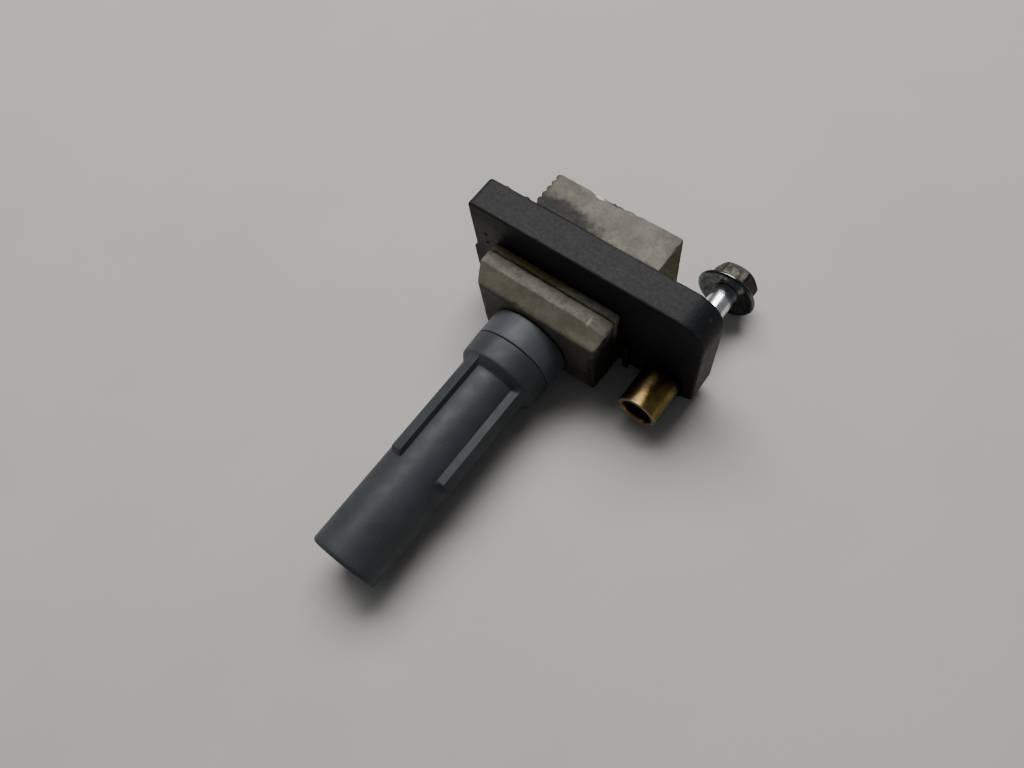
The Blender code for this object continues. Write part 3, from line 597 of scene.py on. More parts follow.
def bolt_look():
    """Bright zinc shank under a weathered head."""
    look = Look("weathered_zinc")
    y = look.axis("Y")
    low = HEAD_LOW.y
    bright = look.blend(look.level(look.noise(2.5, 4), 0.4, 0.6), (0.72, 0.74, 0.73), (0.88, 0.90, 0.90))
    old = look.blend(
        look.level(look.noise(1.3, 6, 0.7), 0.42, 0.62), (0.022, 0.021, 0.018),
        (0.052, 0.050, 0.044),
    )
    rust = look.level(look.noise(0.6, 5, 0.7), 0.57, 0.70)
    old = look.over(old, rust, 0.6, (0.018, 0.012, 0.008))
    old = look.over(old, look.edges(0.53, 0.62), 0.6, (0.13, 0.128, 0.118))
    head = look.level(y, low - 1.6 * MM, low - 0.2 * MM)
    base = look.blend(head, bright, old)
    thread = look.level(y, low - 19 * MM, low - 17 * MM, 1.0, 0.0)
    base = look.over(base, thread, 0.55, (0.30, 0.31, 0.25))
    look.bump(look.noise(0.35, 5, 0.65), 0.03, 0.5)
    worn = look.level(look.noise(1.0, 5, 0.6), 0.35, 0.7, 0.40, 0.58)
    sleek = look.level(look.noise(1.5, 3), 0.35, 0.7, 0.14, 0.24)
    rough = look.nodes.new("ShaderNodeMix")
    look.feed(rough.inputs[0], head)
    look.feed(rough.inputs[2], sleek)
    look.feed(rough.inputs[3], worn)
    return look.done(base, rough.outputs[0], 0.95)


def metal_look(
    name, dark, light, rough_low, rough_high, size=1.5, metallic=1.0, relief=0.02,
    lines=None, stain=None,
):
    """Metal between two tones, with brushed lines and stains if given."""
    look = Look(name)
    base = look.blend(look.level(look.noise(size, 5, 0.6), 0.38, 0.62), dark, light)
    if stain:
        patches = look.level(look.noise(size * 0.6, 6, 0.7), 0.54, 0.70)
        base = look.over(base, patches, 0.6, stain)
    look.bump(look.noise(0.3, 4, 0.6), relief, 0.5)
    if lines:
        look.bump(look.noise(0.35, 3, 0.5, lines), relief * 1.5, 0.7)
    rough = look.level(look.noise(size * 0.8, 4), 0.35, 0.7, rough_low, rough_high)
    return look.done(base, rough, metallic)


def plain_look(name, dark, light, rough, size=3.0, relief=0.03, specks=None):
    """A material between two tones, with specks if given."""
    look = Look(name)
    base = look.blend(look.level(look.noise(size, 4, 0.6), 0.38, 0.62), dark, light)
    if specks:
        dots = look.level(look.noise(0.5, 3), 0.60, 0.68)
        base = look.over(base, dots, 0.5, specks)
    look.bump(look.noise(0.4, 4, 0.6), relief, 0.5)
    varied = look.level(look.noise(size * 0.6, 4), 0.3, 0.7, rough - 0.06, rough + 0.08)
    return look.done(base, varied)


# ------------------------------------------------------------------ the pieces


def boot_angles():
    """Even steps round the boot, with the rib corners and the parting line among them."""
    special = [0.0]
    for section in RIB_SECTIONS:
        for corner in section:
            special += [corner - RIB_CORNER_DEG, corner, corner + RIB_CORNER_DEG]
    special += PARTING_DEG
    even = [2.5 * index for index in range(72)]
    clear = 0.8
    half = sorted(special + [degrees for degrees in even if min(abs(degrees - b) for b in special) > clear])
    return [math.radians(degrees) for degrees in half + [degrees + 180 for degrees in half]]


def rib_radius(degrees):
    """The boot's radius where its ribs stand full height: flat flanks, and a crest that follows the tube."""
    degrees %= 180
    for foot_a, crest_a, crest_b, foot_b in RIB_SECTIONS:
        if crest_a <= degrees <= crest_b:
            return RIB_CREST_R
        for foot, crest in ((foot_a, crest_a), (foot_b, crest_b)):
            if min(foot, crest) <= degrees <= max(foot, crest):
                here, start, end = (math.radians(angle) for angle in (degrees, foot, crest))
                run_u = RIB_CREST_R * math.cos(end) - TUBE_R * math.cos(start)
                run_v = RIB_CREST_R * math.sin(end) - TUBE_R * math.sin(start)
                area = TUBE_R * (math.cos(start) * run_v - math.sin(start) * run_u)
                return area / (math.cos(here) * run_v - math.sin(here) * run_u)
    return TUBE_R


def boot_surface(base, ribbed, ridge=0.0):
    """The boot's radius round the axis: a circle, the ribs where asked, and the mould's parting ridge."""
    def radius(angle):
        value = base
        if ribbed:
            value = max(base, TUBE_R + (rib_radius(math.degrees(angle)) - TUBE_R) * ribbed)
        if ridge:
            off = abs(math.sin(angle)) * base
            value += ridge * max(0.0, 1 - off / RIDGE_HALF_WIDTH)
        return value
    return radius


def boot_outside():
    """(radius, y from the collar's upper face, rib share) down the outside, in millimetres."""
    collar = [
        (9.72, 0.0, 0), (9.92, -0.05, 0), (10.02, -0.17, 0), (10.05, -0.35, 0), (10.04, -1.2, 0),
        (9.98, -2.6, 0), (9.92, -4.2, 0), (9.87, -5.0, 0), (9.84, -5.5, 1), (9.78, -5.68, 1),
        (9.66, -5.84, 1), (9.2, -6.4, 1), (8.42, -7.34, 1), (8.27, -7.5, 1), (8.21, -7.68, 1),
        (TUBE_R, -8.0, 1),
    ]
    ribbed = [(TUBE_R, -9.2 - ROW_STEP * step, 1) for step in range(18)]
    slope = [
        (-32.3, 1), (-32.66, 1), (-32.8, 0.97), (-32.9, 0.9), (-33.58, 0.12),
        (-33.68, 0.03), (-33.8, 0),
    ]
    rib_end = [(TUBE_R, level, share) for level, share in slope]
    plain = [(TUBE_R, -35.0 - ROW_STEP * step, 0) for step in range(17)]
    tip = [
        (TUBE_R, -56.55, 0), (8.17, -56.85, 0), (8.06, -57.15, 0), (7.85, -57.4, 0), (7.55, -57.58, 0),
        (7.15, -57.66, 0), (6.7, -57.7, 0),
    ]
    return collar + ribbed + rib_end + plain + tip


def boot_inside():
    """(radius, y from the collar's upper face) up the bore: lip, two beads, tube and the tower's seat."""
    return [
        (5.9, -57.7), (5.6, -57.6), (5.4, -57.35), (5.3, -57.0), (5.3, -55.6), (5.1, -55.2), (5.0, -54.8),
        (5.1, -54.4), (5.3, -54.0), (5.3, -52.4), (5.1, -52.0), (5.0, -51.6), (5.1, -51.2), (5.3, -50.8),
        (5.3, -45.6), (5.2, -45.35), (4.9, -45.3), (4.9, -30.0), (4.9, -14.0), (5.1, -13.7), (6.7, -13.7),
        (6.9, -13.5), (6.9, -6.0), (6.9, -0.4), (7.1, -0.1), (7.4, 0.0),
    ]


def make_boot():
    """The rubber tube with its collar, ribs and parting ridge, skinned outside and in."""
    top = BOOT_HIGH.y
    angles = boot_angles()
    rings = []
    for radius, y, share in boot_outside():
        ridge = PARTING_RIDGE if radius > 7.9 else 0.0
        surface = boot_surface(radius, share, ridge)
        rings.append(ring_points(surface, top + y * MM, PLUG_X, PLUG_Z, angles))
    for radius, y in boot_inside():
        rings.append(ring_points(radius, top + y * MM, PLUG_X, PLUG_Z, angles))
    boot = skin("boot_rubber_moulding", rings, closed=True)
    smooth_shaded(boot.data, 38)
    return boot


def make_seal_ring():
    low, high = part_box("seal_ring")
    height = (high.y - low.y) / MM + RING_OVERLAP
    profile = [(COLLAR_R, 0.0), (COLLAR_R, -height), (RING_BORE_R, -height), (RING_BORE_R, 0.0)]
    loop = filleted(profile, 0.28, 4)
    angles = boot_angles()
    rings = []
    for point in loop:
        ridge = RING_RIDGE if point.x > COLLAR_R - 0.1 else 0.0
        surface = boot_surface(point.x, 0, ridge)
        rings.append(ring_points(surface, high.y + point.y * MM, PLUG_X, PLUG_Z, angles))
    ring = skin("seal_ring_rubber", rings, closed=True)
    smooth_shaded(ring.data, 50)
    return ring


def make_sleeve():
    """A rolled brass tube whose mouth is flared inside."""
    height = (SLEEVE_HIGH.y - SLEEVE_LOW.y) / MM
    profile = [
        (SLEEVE_R, 0.0), (SLEEVE_R, -height), (3.9, -height), (3.62, -height + 0.55),
        (SLEEVE_BORE_R, -height + 6.0), (SLEEVE_BORE_R, 0.0),
    ]
    return turned("rolled_sleeve", profile, BOLT_X, BOLT_Z, SLEEVE_HIGH.y, 0.16, FINE_STEPS)


def make_washer():
    """A wide washer, dished so that its rim stands off the sleeve."""
    top = (WASHER_HIGH.y - WASHER_LOW.y) / MM
    profile = [
        (3.14, 0.62), (4.0, 0.60), (4.8, 0.50), (5.5, 0.34), (6.2, 0.12), (6.6, 0.0), (7.15, 0.05),
        (7.4, 0.30), (7.38, 0.68), (7.05, 0.96), (6.2, 1.14), (5.0, top - 0.02), (3.14, top),
    ]
    return turned("captive_washer_dished", profile, BOLT_X, BOLT_Z, WASHER_LOW.y, 0.12, FINE_STEPS)


def hex_radius(angle):
    """Distance to a hexagon's side, with its corners slightly worn off."""
    turn = (angle + math.pi / 6) % (math.pi / 3) - math.pi / 6
    return min(HEX_HALF_FLATS / math.cos(math.pi / 6 - abs(turn)), HEX_CORNER_R)


def head_levels(top, base):
    """(radius, y) of each ring down the head, with 30 degree chamfers at the hexagon's corners."""
    def inset(amount):
        return lambda angle: hex_radius(angle) - amount

    def chamfer(amount, drop=0.0):
        def level(angle):
            return top - max(0.0, hex_radius(angle) - amount - CROWN_R) * CROWN_SLOPE * MM - drop * MM
        return level

    return [
        (1.2, top - 0.10 * MM),
        (3.3, top - 0.10 * MM),
        (3.75, top - 0.03 * MM),
        (CROWN_R - 0.12, top),
        (CROWN_R + 0.04, top - 0.04 * MM),
        (inset(0.10), chamfer(0.10)),
        (inset(0.02), chamfer(0.02, 0.04)),
        (hex_radius, chamfer(0.0, 0.14)),
        (hex_radius, base + 0.35 * MM),
        (hex_radius, base + 0.16 * MM),
        (inset(0.14), base),
        (4.2, base),
    ]


def thread_surface(y, start, tip):
    """The shank's radius round the axis at one level, cut by the thread and by the pointed end."""
    run = min(1.0, (start - y) / (THREAD_RUN_IN * MM))
    cone = TIP_R + (y - tip) / MM * 0.9

    def radius(angle):
        phase = ((y / MM) / THREAD_PITCH + angle / (2 * math.pi)) % 1.0
        rise = abs(2 * phase - 1)
        flank = min(max((rise - 0.08) / 0.80, 0.0), 1.0)
        return min(SHANK_R - THREAD_DEPTH * run * (1 - flank), cone)
    return radius


def make_bolt():
    """Hexagon with a chamfered crown, plain neck and a rolled M6 thread."""
    base = HEAD_LOW.y
    tip = BOLT_BOX_LOW.y
    angles = round_angles(144)
    levels = head_levels(BOLT_BOX_HIGH.y, base)
    neck = [(3.6, 0.0), (3.06, -0.06), (3.04, -1.3), (3.02, -1.9), (3.0, -2.6), (2.98, -3.4)]
    neck += [(SHANK_R, -6.0), (SHANK_R, -12.0)]
    levels += [(radius, base + y * MM) for radius, y in neck]
    start = base - THREAD_FROM * MM
    rows = round((start - tip) / (THREAD_PITCH * MM / THREAD_ROWS_PER_TURN))
    for row in range(rows + 1):
        y = start + (tip - start) * row / rows
        levels.append((thread_surface(y, start, tip), y))
    rings = [ring_points(radius, y, BOLT_X, BOLT_Z, angles) for radius, y in levels]
    bolt = skin("hex_bolt_m6", rings, closed=False)
    smooth_shaded(bolt.data, 42)
    return bolt


def make_plate():
    """The black flange, with its crumbled tab, pin marks and moulding burrs."""
    plate = cad_copy("flange_moulding", "flange_plate")
    left, right, low, high = PLATE_LEFT_X, PLATE_HIGH.x, PLATE_LOW.z, PLATE_HIGH.z
    face = PLATE_FACE_Y
    back = PLATE_HIGH.y
    added = [
        pebble((left - 0.3 * MM, face + 2.2 * MM, PLUG_Z + 0.6 * MM), (0.95, 1.9, 1.5), 1),
        pebble((left - 0.3 * MM, face + 5.2 * MM, PLUG_Z + 3.4 * MM), (0.9, 1.6, 1.3), 2),
        pebble((left - 0.2 * MM, face + 1.4 * MM, PLUG_Z + 4.6 * MM), (0.85, 1.2, 1.0), 3),
        pebble((left + 10.6 * MM, back - 0.1 * MM, high - 0.35 * MM), (0.55, 0.45, 0.55), 4),
        pebble((left + 5.2 * MM, back - 0.15 * MM, high - 0.3 * MM), (0.8, 0.35, 0.4), 5),
    ]
    removed = [
        rod((left + 4.0 * MM, PLUG_Z + 14.2 * MM), 0.42, face - 1 * MM, face + 0.7 * MM),
        rod((left + 4.1 * MM, PLUG_Z + 11.2 * MM), 0.42, face - 1 * MM, face + 0.7 * MM),
        rod((left + 10.0 * MM, low + 9.0 * MM), 2.0, back - 0.35 * MM, back + 1 * MM),
        rod((right - 7.5 * MM, high - 8.5 * MM), 2.0, back - 0.35 * MM, back + 1 * MM),
        pebble((left - 0.2 * MM, face - 0.1 * MM, high + 0.1 * MM), (0.9, 0.8, 0.9), 6),
        pebble((left + 0.1 * MM, back + 0.1 * MM, PLUG_Z + 9 * MM), (0.6, 0.7, 1.1), 7),
    ]
    join_shapes(plate, added, "UNION")
    join_shapes(plate, removed, "DIFFERENCE")
    worn_body(plate, 0.25, 2, 0.08, 1.3, 0.03, 3)
    clear_tools(*added, *removed)
    return plate


def corner_facet():
    """The cutter for the flat across the block's upper right corner, from the plate down to the front."""
    right, seam, top = BLOCK_HIGH.x, BLOCK_HIGH.y, BLOCK_HIGH.z
    strip_end = Vector((right - 3.5 * MM, seam - 0.8 * MM, top))
    plate_end = Vector((right - 0.7 * MM, seam + 2.7 * MM, top))
    front_end = Vector((right - 0.1 * MM, seam - 7.9 * MM, top - 2.4 * MM))
    return slab(strip_end, plate_end, front_end, 12 * MM)


def make_lower_block():
    """The block on the boot's side, with a planed corner and a few chips."""
    case = cad_copy("lower_block_moulding", "lower_case")
    front = BLOCK_FRONT_Y
    removed = [
        pebble((BLOCK_HIGH.x - 4.2 * MM, front + 5.2 * MM, BLOCK_HIGH.z), (0.3, 1.2, 0.3), 11),
        pebble((BLOCK_HIGH.x + 0.1 * MM, front + 5.2 * MM, BLOCK_HIGH.z - 1.4 * MM), (0.5, 1.1, 0.4), 12),
        pebble((BLOCK_LOW.x + 1.2 * MM, front + 0.4 * MM, BLOCK_HIGH.z - 2.6 * MM), (0.9, 0.5, 0.9), 13),
        pebble((BLOCK_LOW.x + 13.0 * MM, front + 0.1 * MM, BLOCK_HIGH.z - 2.3 * MM), (1.1, 0.4, 0.4), 14),
    ]
    removed.append(corner_facet())
    join_shapes(case, removed, "DIFFERENCE")
    worn_body(case, 0.25, 3, 0.13, 1.5, 0.08, 5)
    clear_tools(*removed)
    return case


def make_inner_rim():
    """The cup's rim, which shows flush between the block and the plate with a hairline seam each side."""
    rim = cad_copy("potting_cup_moulding", "inner_case")
    low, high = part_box("inner_case")
    near, lengthen, widen = 0.5 * MM, 0.24 * MM, 0.26 * MM
    for vertex in rim.data.vertices:
        point = vertex.co
        if point.y > PLATE_FACE_Y:
            continue
        point.y += -lengthen if point.y < low.y + near else lengthen
        for axis in (0, 2):
            if point[axis] < low[axis] + near:
                point[axis] -= widen
            elif point[axis] > high[axis] - near:
                point[axis] += widen
    facet = corner_facet()
    join_shapes(rim, [facet], "DIFFERENCE")
    worn_body(rim, 0.25, 2, 0.06, 1.2, 0.03, 8)
    clear_tools(facet)
    return rim


def make_cover():
    """The block on the far side, seated in the plate, with its torn left end notched by pebbles.

    A notch is its place along X, its depth along Y, its depth below the top and its width, in millimetres.
    """
    seat = 0.65 * MM
    cover = cad_copy("head_cover_moulding", "head_cover")
    for vertex in cover.data.vertices:
        if vertex.co.y < COVER_LOW.y + 0.1 * MM:
            vertex.co.y -= seat
    top, far = COVER_HIGH.z, COVER_HIGH.y
    left = COVER_LOW.x
    notches = [
        (9.8, 0.25, 0.4, 1.3), (11.6, 0.4, 0.3, 0.9), (13.4, 0.2, 0.6, 1.6), (15.6, 0.45, 0.3, 0.7),
        (17.3, 0.15, 0.3, 1.4), (20.4, 0.15, 0.15, 1.0),
    ]
    removed = []
    for index, (along, deep, down, wide) in enumerate(notches):
        centre = (left + along * MM, far + 0.1 * MM, top + 0.1 * MM)
        removed.append(pebble(centre, (wide, deep + 0.35, down + 0.35), 20 + index))
    removed.append(pebble((COVER_HIGH.x + 0.1 * MM, far - 3 * MM, top + 0.1 * MM), (0.5, 1.2, 0.5), 31))
    join_shapes(cover, removed, "DIFFERENCE")
    worn_body(cover, 0.23, 2, 0.09, 1.0, 0.05, 9)
    clear_tools(*removed)
    return cover


def make_shell():
    """The harness socket, with a latch ramp between guide rails and a keying rib each side."""
    shell = cad_copy("connector_moulding", "connector_shell")
    low, high = SHELL_LOW, SHELL_HIGH
    middle = (low.z + high.z) / 2
    rail = (3.5, 12.5, high.y - 0.5 * MM, high.y + 0.9 * MM)
    latch = (4.2, 6.4, high.y - 0.5 * MM, high.y + 0.9 * MM)
    key = (1.5, 13.5, low.y - 0.6 * MM, low.y + 0.5 * MM)
    bars = [(rail, -4.2, -3.2), (rail, 3.2, 4.2), (latch, -1.6, 1.6), (key, -3.9, -3.1), (key, 3.1, 3.9)]
    added = []
    for (x_from, x_to, y_low, y_high), z_from, z_to in bars:
        corner = (low.x + x_from * MM, y_low, middle + z_from * MM)
        added.append(block(corner, (low.x + x_to * MM, y_high, middle + z_to * MM)))
    join_shapes(shell, added, "UNION")
    worn_body(shell, 0.22, 2, 0.05, 1.2, 0.02, 12)
    clear_tools(*added)
    return shell


def make_spring():
    """Round wire with closed, ground end coils."""
    low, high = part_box("contact_spring")
    wire = 0.4
    end_rise = wire * 1.9
    coil = (high.x - low.x) / 2 / MM - wire
    length = (high.y - low.y) / MM - 2 * wire
    turns = 11.0
    closed_end = 1.0
    steps = int(turns * 40)
    rings = []
    for index in range(steps + 1):
        share = index / steps
        turn = turns * share
        travel = (turn - closed_end) / (turns - 2 * closed_end)
        open_share = min(max(travel, 0.0), 1.0)
        end_turns = min(turn, 1.0) + min(max(turn - turns + 1, 0.0), 1.0)
        rise = open_share * (length - 2 * end_rise) + end_rise * end_turns
        angle = 2 * math.pi * turn
        outward = Vector((math.cos(angle), 0, math.sin(angle)))
        centre = Vector((PLUG_X, high.y - (rise + wire) * MM, PLUG_Z)) + outward * coil * MM
        ring = []
        for around in round_angles(12):
            lift = Vector((0, wire * MM * math.sin(around), 0))
            ring.append(centre + outward * wire * MM * math.cos(around) + lift)
        rings.append(ring)
    spring = skin("contact_spring_wire", rings, closed=False)
    smooth_shaded(spring.data, 60)
    return spring


def make_contact_cup():
    low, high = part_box("plug_contact")
    height = (high.y - low.y) / MM
    profile = [
        (1.2, 0.0), (3.8, 0.0), (4.4, -0.7), (4.4, -2.2), (4.15, -2.5), (4.15, -3.1), (4.4, -3.4),
        (4.4, -height), (3.4, -height), (3.3, -height + 0.5), (3.3, -2.2), (1.2, -2.0),
    ]
    return turned("plug_contact_cup", profile, PLUG_X, PLUG_Z, high.y, 0.16, 64)


def make_terminal_pins():
    """Flat blades with pointed tips, which turn up to the board."""
    pins = []
    for index in range(3):
        pin = cad_copy(f"blade_{index + 1}", f"terminal_pin_{index + 1}")
        bevel = pin.modifiers.new("edges", "BEVEL")
        bevel.width = 0.18 * MM
        bevel.segments = 2
        bevel.limit_method = "ANGLE"
        bake_modifiers(pin)
        smooth_shaded(pin.data, 35)
        pins.append(pin)
    return pins


# ------------------------------------------------------------ putting on looks


def dress_plate():
    left = PLATE_LEFT_X
    # Each patch: centre, radii in millimetres, colour, share, softness
    plate_dust_and_light = [
        # The first patch, the pale left end of the boot-side face, is painted light where light falls on
        # that end; the second is brownish wear on the rounded right end.
        ((left + 4 * MM, PLATE_FACE_Y, PLUG_Z + 13 * MM), (7, 1.5, 9), (0.060, 0.058, 0.050), 0.75, 0.7),
        (
            (PLATE_HIGH.x, PLATE_FACE_Y + 4 * MM, PLUG_Z + 6 * MM), (3.5, 9, 9),
            (0.030, 0.025, 0.018), 0.6, 0.8,
        ),
    ]
    look = black_plastic_look("scuffed_black_moulding_painted_light", plate_dust_and_light)
    stand_in(make_plate(), "coil", ["flange_plate"], look)


def dress_lower_block():
    front = BLOCK_FRONT_Y
    # Each patch, a stain or painted shade: centre, radii in millimetres, colour, share, softness, grain in
    # millimetres
    block_stains_and_shade = [
        (
            (BLOCK_LOW.x + 13 * MM, PLATE_FACE_Y - 1.5 * MM, BLOCK_HIGH.z), (9, 1.6, 3),
            (0.085, 0.050, 0.012), 0.7, 0.7, 1.4,
        ),
        ((BLOCK_LOW.x, front + 3 * MM, PLUG_Z + 3 * MM), (2.5, 8, 11), (0.030, 0.028, 0.020), 0.6, 0.8, 3.0),
        (
            (BLOCK_HIGH.x - 4 * MM, front + 1 * MM, BLOCK_HIGH.z - 2 * MM), (5, 2, 2),
            (0.17, 0.15, 0.11), 0.35, 0.8, 1.5,
        ),
        (
            (BLOCK_HIGH.x - 4.6 * MM, front + 5.0 * MM, BLOCK_HIGH.z), (0.5, 1.8, 0.9),
            (0.30, 0.29, 0.26), 0.7, 0.6, 0.4,
        ),
        # Painted shade: the front face, which faces away from the light, is darkened.
        (
            (BLOCK_LOW.x + 17 * MM, front, PLUG_Z - 2 * MM), (27, 4, 14),
            (0.036, 0.035, 0.021), 0.80, 0.7, 3.0,
        ),
        # Painted shade: the right end face is darkened nearly black.
        (
            (BLOCK_HIGH.x + 1.0 * MM, front + 5 * MM, PLUG_Z - 1 * MM), (4.0, 14, 16),
            (0.009, 0.009, 0.006), 0.94, 0.4, 2.0,
        ),
    ]
    look = case_plastic_look("weathered_case_painted_shade", block_stains_and_shade, bevel_y=front + 4.4 * MM)
    stand_in(make_lower_block(), "coil", ["lower_case"], look)


def dress_inner_rim():
    rim_stains_and_shade = [
        # An oil stain along the rim by the plate, darkened further as painted shade from the plate.
        (
            (BLOCK_LOW.x + 11 * MM, PLATE_FACE_Y - 0.4 * MM, BLOCK_HIGH.z), (14, 3, 6),
            (0.058, 0.040, 0.008), 0.92, 0.5, 1.4,
        ),
        # Painted shade: the rim's right end is darkened nearly black.
        (
            (BLOCK_HIGH.x + 1.0 * MM, PLATE_FACE_Y, PLUG_Z - 1 * MM), (3.0, 8, 15),
            (0.009, 0.009, 0.006), 0.94, 0.4, 2.0,
        ),
    ]
    look = case_plastic_look("oily_cup_painted_shade", rim_stains_and_shade, (0.92, 0.90, 0.84))
    stand_in(make_inner_rim(), "coil", ["inner_case"], look)


def dress_cover():
    top, far = COVER_HIGH.z, COVER_HIGH.y
    cover_stains = [
        (
            (COVER_LOW.x + 5 * MM, COVER_LOW.y - 0.4 * MM, top), (15, 5.0, 4),
            (0.0095, 0.0095, 0.010), 0.97, 0.55, 1.4,
        ),
        ((COVER_LOW.x, far - 4 * MM, top - 4 * MM), (1.6, 9, 9), (0.022, 0.020, 0.016), 0.7, 0.7, 1.6),
        ((COVER_LOW.x + 11.4 * MM, far - 0.5 * MM, top), (1.7, 0.7, 1.0), (0.60, 0.59, 0.57), 0.8, 0.5, 0.5),
        (
            (COVER_LOW.x + 15 * MM, far - 0.1 * MM, top), (4.2, 0.9, 1.2),
            (0.012, 0.026, 0.017), 0.9, 0.5, 0.6,
        ),
        (
            (COVER_HIGH.x + 0.8 * MM, far - 4 * MM, top - 7 * MM), (1.1, 14, 18),
            (0.098, 0.076, 0.016), 0.9, 0.25, 2.5,
        ),
        ((COVER_LOW.x + 22 * MM, far - 3 * MM, top), (8, 6, 2), (0.135, 0.125, 0.105), 0.4, 0.9, 3.0),
    ]
    look = case_plastic_look("weathered_cover", cover_stains, (0.92, 0.93, 0.95))
    stand_in(make_cover(), "coil", ["head_cover"], look)


def dress_socket_and_boot():
    look = black_plastic_look("black_connector_moulding")
    stand_in(make_shell(), "coil", ["connector_shell"], look)
    stand_in(make_boot(), "coil", ["boot"], silicone_look("slate_silicone"))
    stand_in(make_seal_ring(), "coil", ["seal_ring"], silicone_look("handled_silicone", 1.75))


def dress_fixing():
    stand_in(make_sleeve(), "coil", ["mount_sleeve"], sleeve_look())
    tones = ((0.065, 0.074, 0.074), (0.15, 0.165, 0.16))
    stain = (0.04, 0.036, 0.027)
    washer = metal_look("dark_zinc_dish", *tones, 0.09, 0.19, size=1.6, relief=0.010, stain=stain)
    stand_in(make_washer(), "captive_washer", ["bolt_washer"], washer)
    stand_in(make_bolt(), "fixing_bolt", ["bolt"], bolt_look())


def dress_contacts():
    spring = make_spring()
    steel = metal_look("spring_wire", (0.34, 0.34, 0.33), (0.52, 0.52, 0.50), 0.25, 0.4)
    stand_in(spring, "coil", ["contact_spring"], steel)
    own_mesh(spring)
    tin = metal_look("tinned_contact", (0.44, 0.42, 0.35), (0.62, 0.60, 0.53), 0.22, 0.4, 1.2, relief=0.012)
    stand_in(make_contact_cup(), "plug_cup", ["plug_contact"], tin)
    for index, pin in enumerate(make_terminal_pins()):
        stand_in(pin, "coil", [f"terminal_pin_{index + 1}"], tin)


def dress_inside():
    """Finishes for the CAD pieces that stay as they are, inside the coil."""
    laminated = metal_look(
        "laminated_steel", (0.22, 0.22, 0.23), (0.34, 0.34, 0.35), 0.35, 0.55, 2.0, 1.0,
        0.03, (0.1, 0.1, 1.0),
    )
    wound = metal_look(
        "enamelled_wire", (0.45, 0.17, 0.06), (0.62, 0.27, 0.10), 0.28, 0.42, 1.5, 0.85,
        0.04, (0.1, 1.0, 0.1),
    )
    cream = plain_look("cream_bobbin", (0.52, 0.48, 0.37), (0.64, 0.60, 0.49), 0.58)
    chip = plain_look(
        "epoxy_package", (0.014, 0.014, 0.015), (0.024, 0.024, 0.026), 0.5, 1.2, 0.05,
        (0.04, 0.04, 0.04),
    )
    finishes = {
        "core_e_stack": laminated,
        "core_bar": laminated,
        "bias_magnet": metal_look(
            "sintered_magnet", (0.07, 0.07, 0.08), (0.12, 0.12, 0.13), 0.4, 0.6, 0.8, 0.6,
            0.05,
        ),
        "primary_bobbin": cream,
        "primary_winding": wound,
        "secondary_bobbin": cream,
        "secondary_winding": wound,
        "igniter_board": plain_look(
            "board_mask", (0.018, 0.11, 0.045), (0.035, 0.17, 0.075), 0.42, 2.5, 0.02,
            (0.06, 0.22, 0.11),
        ),
        "power_transistor": chip,
        "capacitor": chip,
        "heat_spreader": metal_look(
            "spreader_metal", (0.50, 0.51, 0.52), (0.66, 0.67, 0.68), 0.3, 0.5, 2.0, 1.0,
            0.02, (0.08, 1.0, 1.0),
        ),
        "hv_lead": metal_look("bare_copper", (0.45, 0.18, 0.07), (0.66, 0.32, 0.14), 0.25, 0.4),
        "suppressor_resistor": plain_look(
            "unglazed_ceramic", (0.62, 0.60, 0.54), (0.76, 0.74, 0.69), 0.6, 1.5, 0.03,
            (0.48, 0.45, 0.38),
        ),
        "hv_terminal": metal_look("tinned_terminal", (0.46, 0.44, 0.37), (0.64, 0.62, 0.55), 0.22, 0.4),
    }
    for node, finish in finishes.items():
        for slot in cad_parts[node].material_slots:
            slot.material = finish


# ---------------------------------------------------------------- the setting


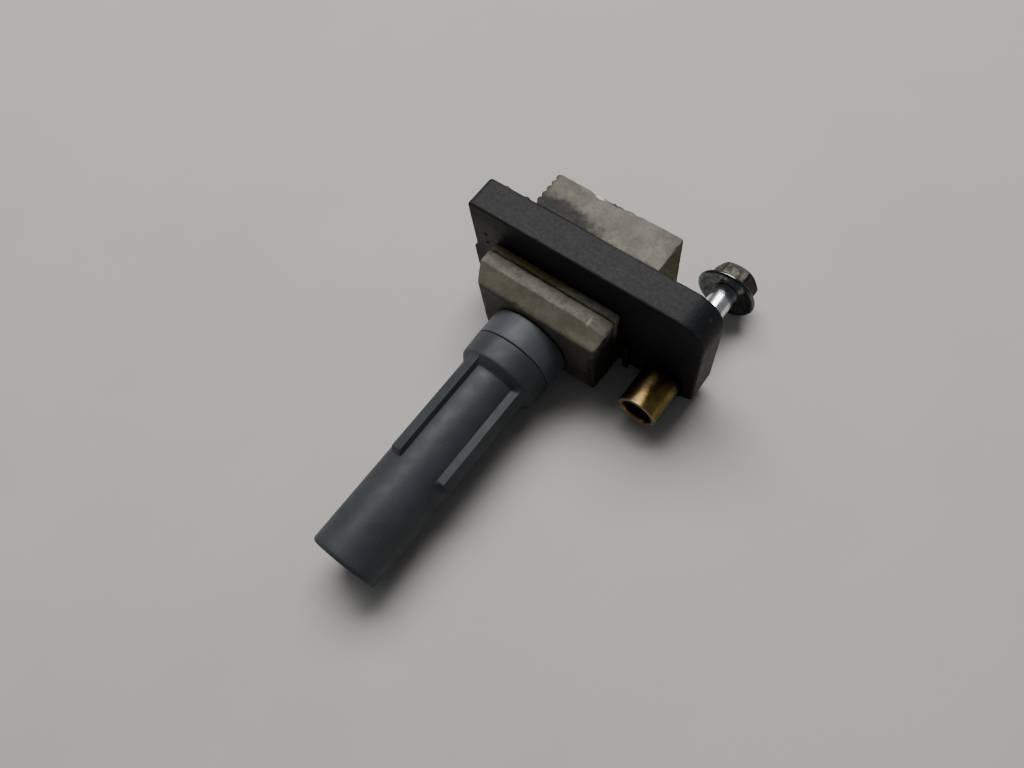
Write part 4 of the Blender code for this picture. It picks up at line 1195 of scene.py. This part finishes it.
def make_floor():
    mesh = bpy.data.meshes.new("studio_floor")
    half = FLOOR_HALF
    corners = [(-half, -half, 0), (half, -half, 0), (half, half, 0), (-half, half, 0)]
    mesh.from_pydata(corners, [], [(0, 1, 2, 3)])
    floor = new_object("studio_floor", mesh)
    floor.location.z = CAD_BOX[0].z - 0.05 * MM
    look = Look("pale_floor")
    paler = tuple(part * 1.05 for part in FLOOR_COLOUR)
    base = look.blend(look.level(look.noise(60, 3), 0.3, 0.7), FLOOR_COLOUR, paler)
    wear(floor, look.done(base, 0.75))


def soft_light(name, towards, distance, size, watts, colour):
    """A square area light that looks at the coil from a direction in the coil's frame."""
    data = bpy.data.lights.new(name, "AREA")
    data.shape = "RECTANGLE"
    data.size, data.size_y = size
    data.energy = watts
    data.color = colour
    lamp = bpy.data.objects.new(name, data)
    SCENE.collection.objects.link(lamp)
    towards = Vector(towards).normalized()
    lamp.location = TARGET + towards * distance
    lamp.rotation_mode = "QUATERNION"
    lamp.rotation_quaternion = towards.to_track_quat("Z", "Y")


def make_lights():
    world = bpy.data.worlds.new("soft_room")
    SCENE.world = world
    world.use_nodes = True
    background = world.node_tree.nodes["Background"]
    background.inputs["Color"].default_value = (0.86, 0.90, 1.0, 1.0)
    background.inputs["Strength"].default_value = 0.16
    soft_light("ceiling_softbox", (-0.34, 0.46, 1.0), 1.1, (1.0, 0.55), 19.5, (1.0, 0.985, 0.95))
    soft_light("left_fill", (-1.0, -0.25, 0.55), 1.2, (0.6, 0.6), 0.8, (0.92, 0.96, 1.0))


def make_camera():
    data = bpy.data.cameras.new("studio_camera")
    data.lens = CAMERA_LENS
    data.clip_start = 0.01
    camera = bpy.data.objects.new("studio_camera", data)
    SCENE.collection.objects.link(camera)
    azimuth = math.radians(CAMERA_AZIMUTH)
    elevation = math.radians(CAMERA_ELEVATION)
    back = Vector((
        math.sin(azimuth) * math.cos(elevation),
        -math.cos(azimuth) * math.cos(elevation),
        math.sin(elevation),
    ))
    camera.location = TARGET + back * CAMERA_DISTANCE
    camera.rotation_mode = "QUATERNION"
    level = (-back).to_track_quat("-Z", "Y")
    camera.rotation_quaternion = level @ Quaternion((0, 0, 1), math.radians(CAMERA_ROLL))
    SCENE.camera = camera


dress_plate()
dress_lower_block()
dress_inner_rim()
dress_cover()
dress_socket_and_boot()
dress_fixing()
dress_contacts()
dress_inside()
make_floor()
make_lights()
make_camera()
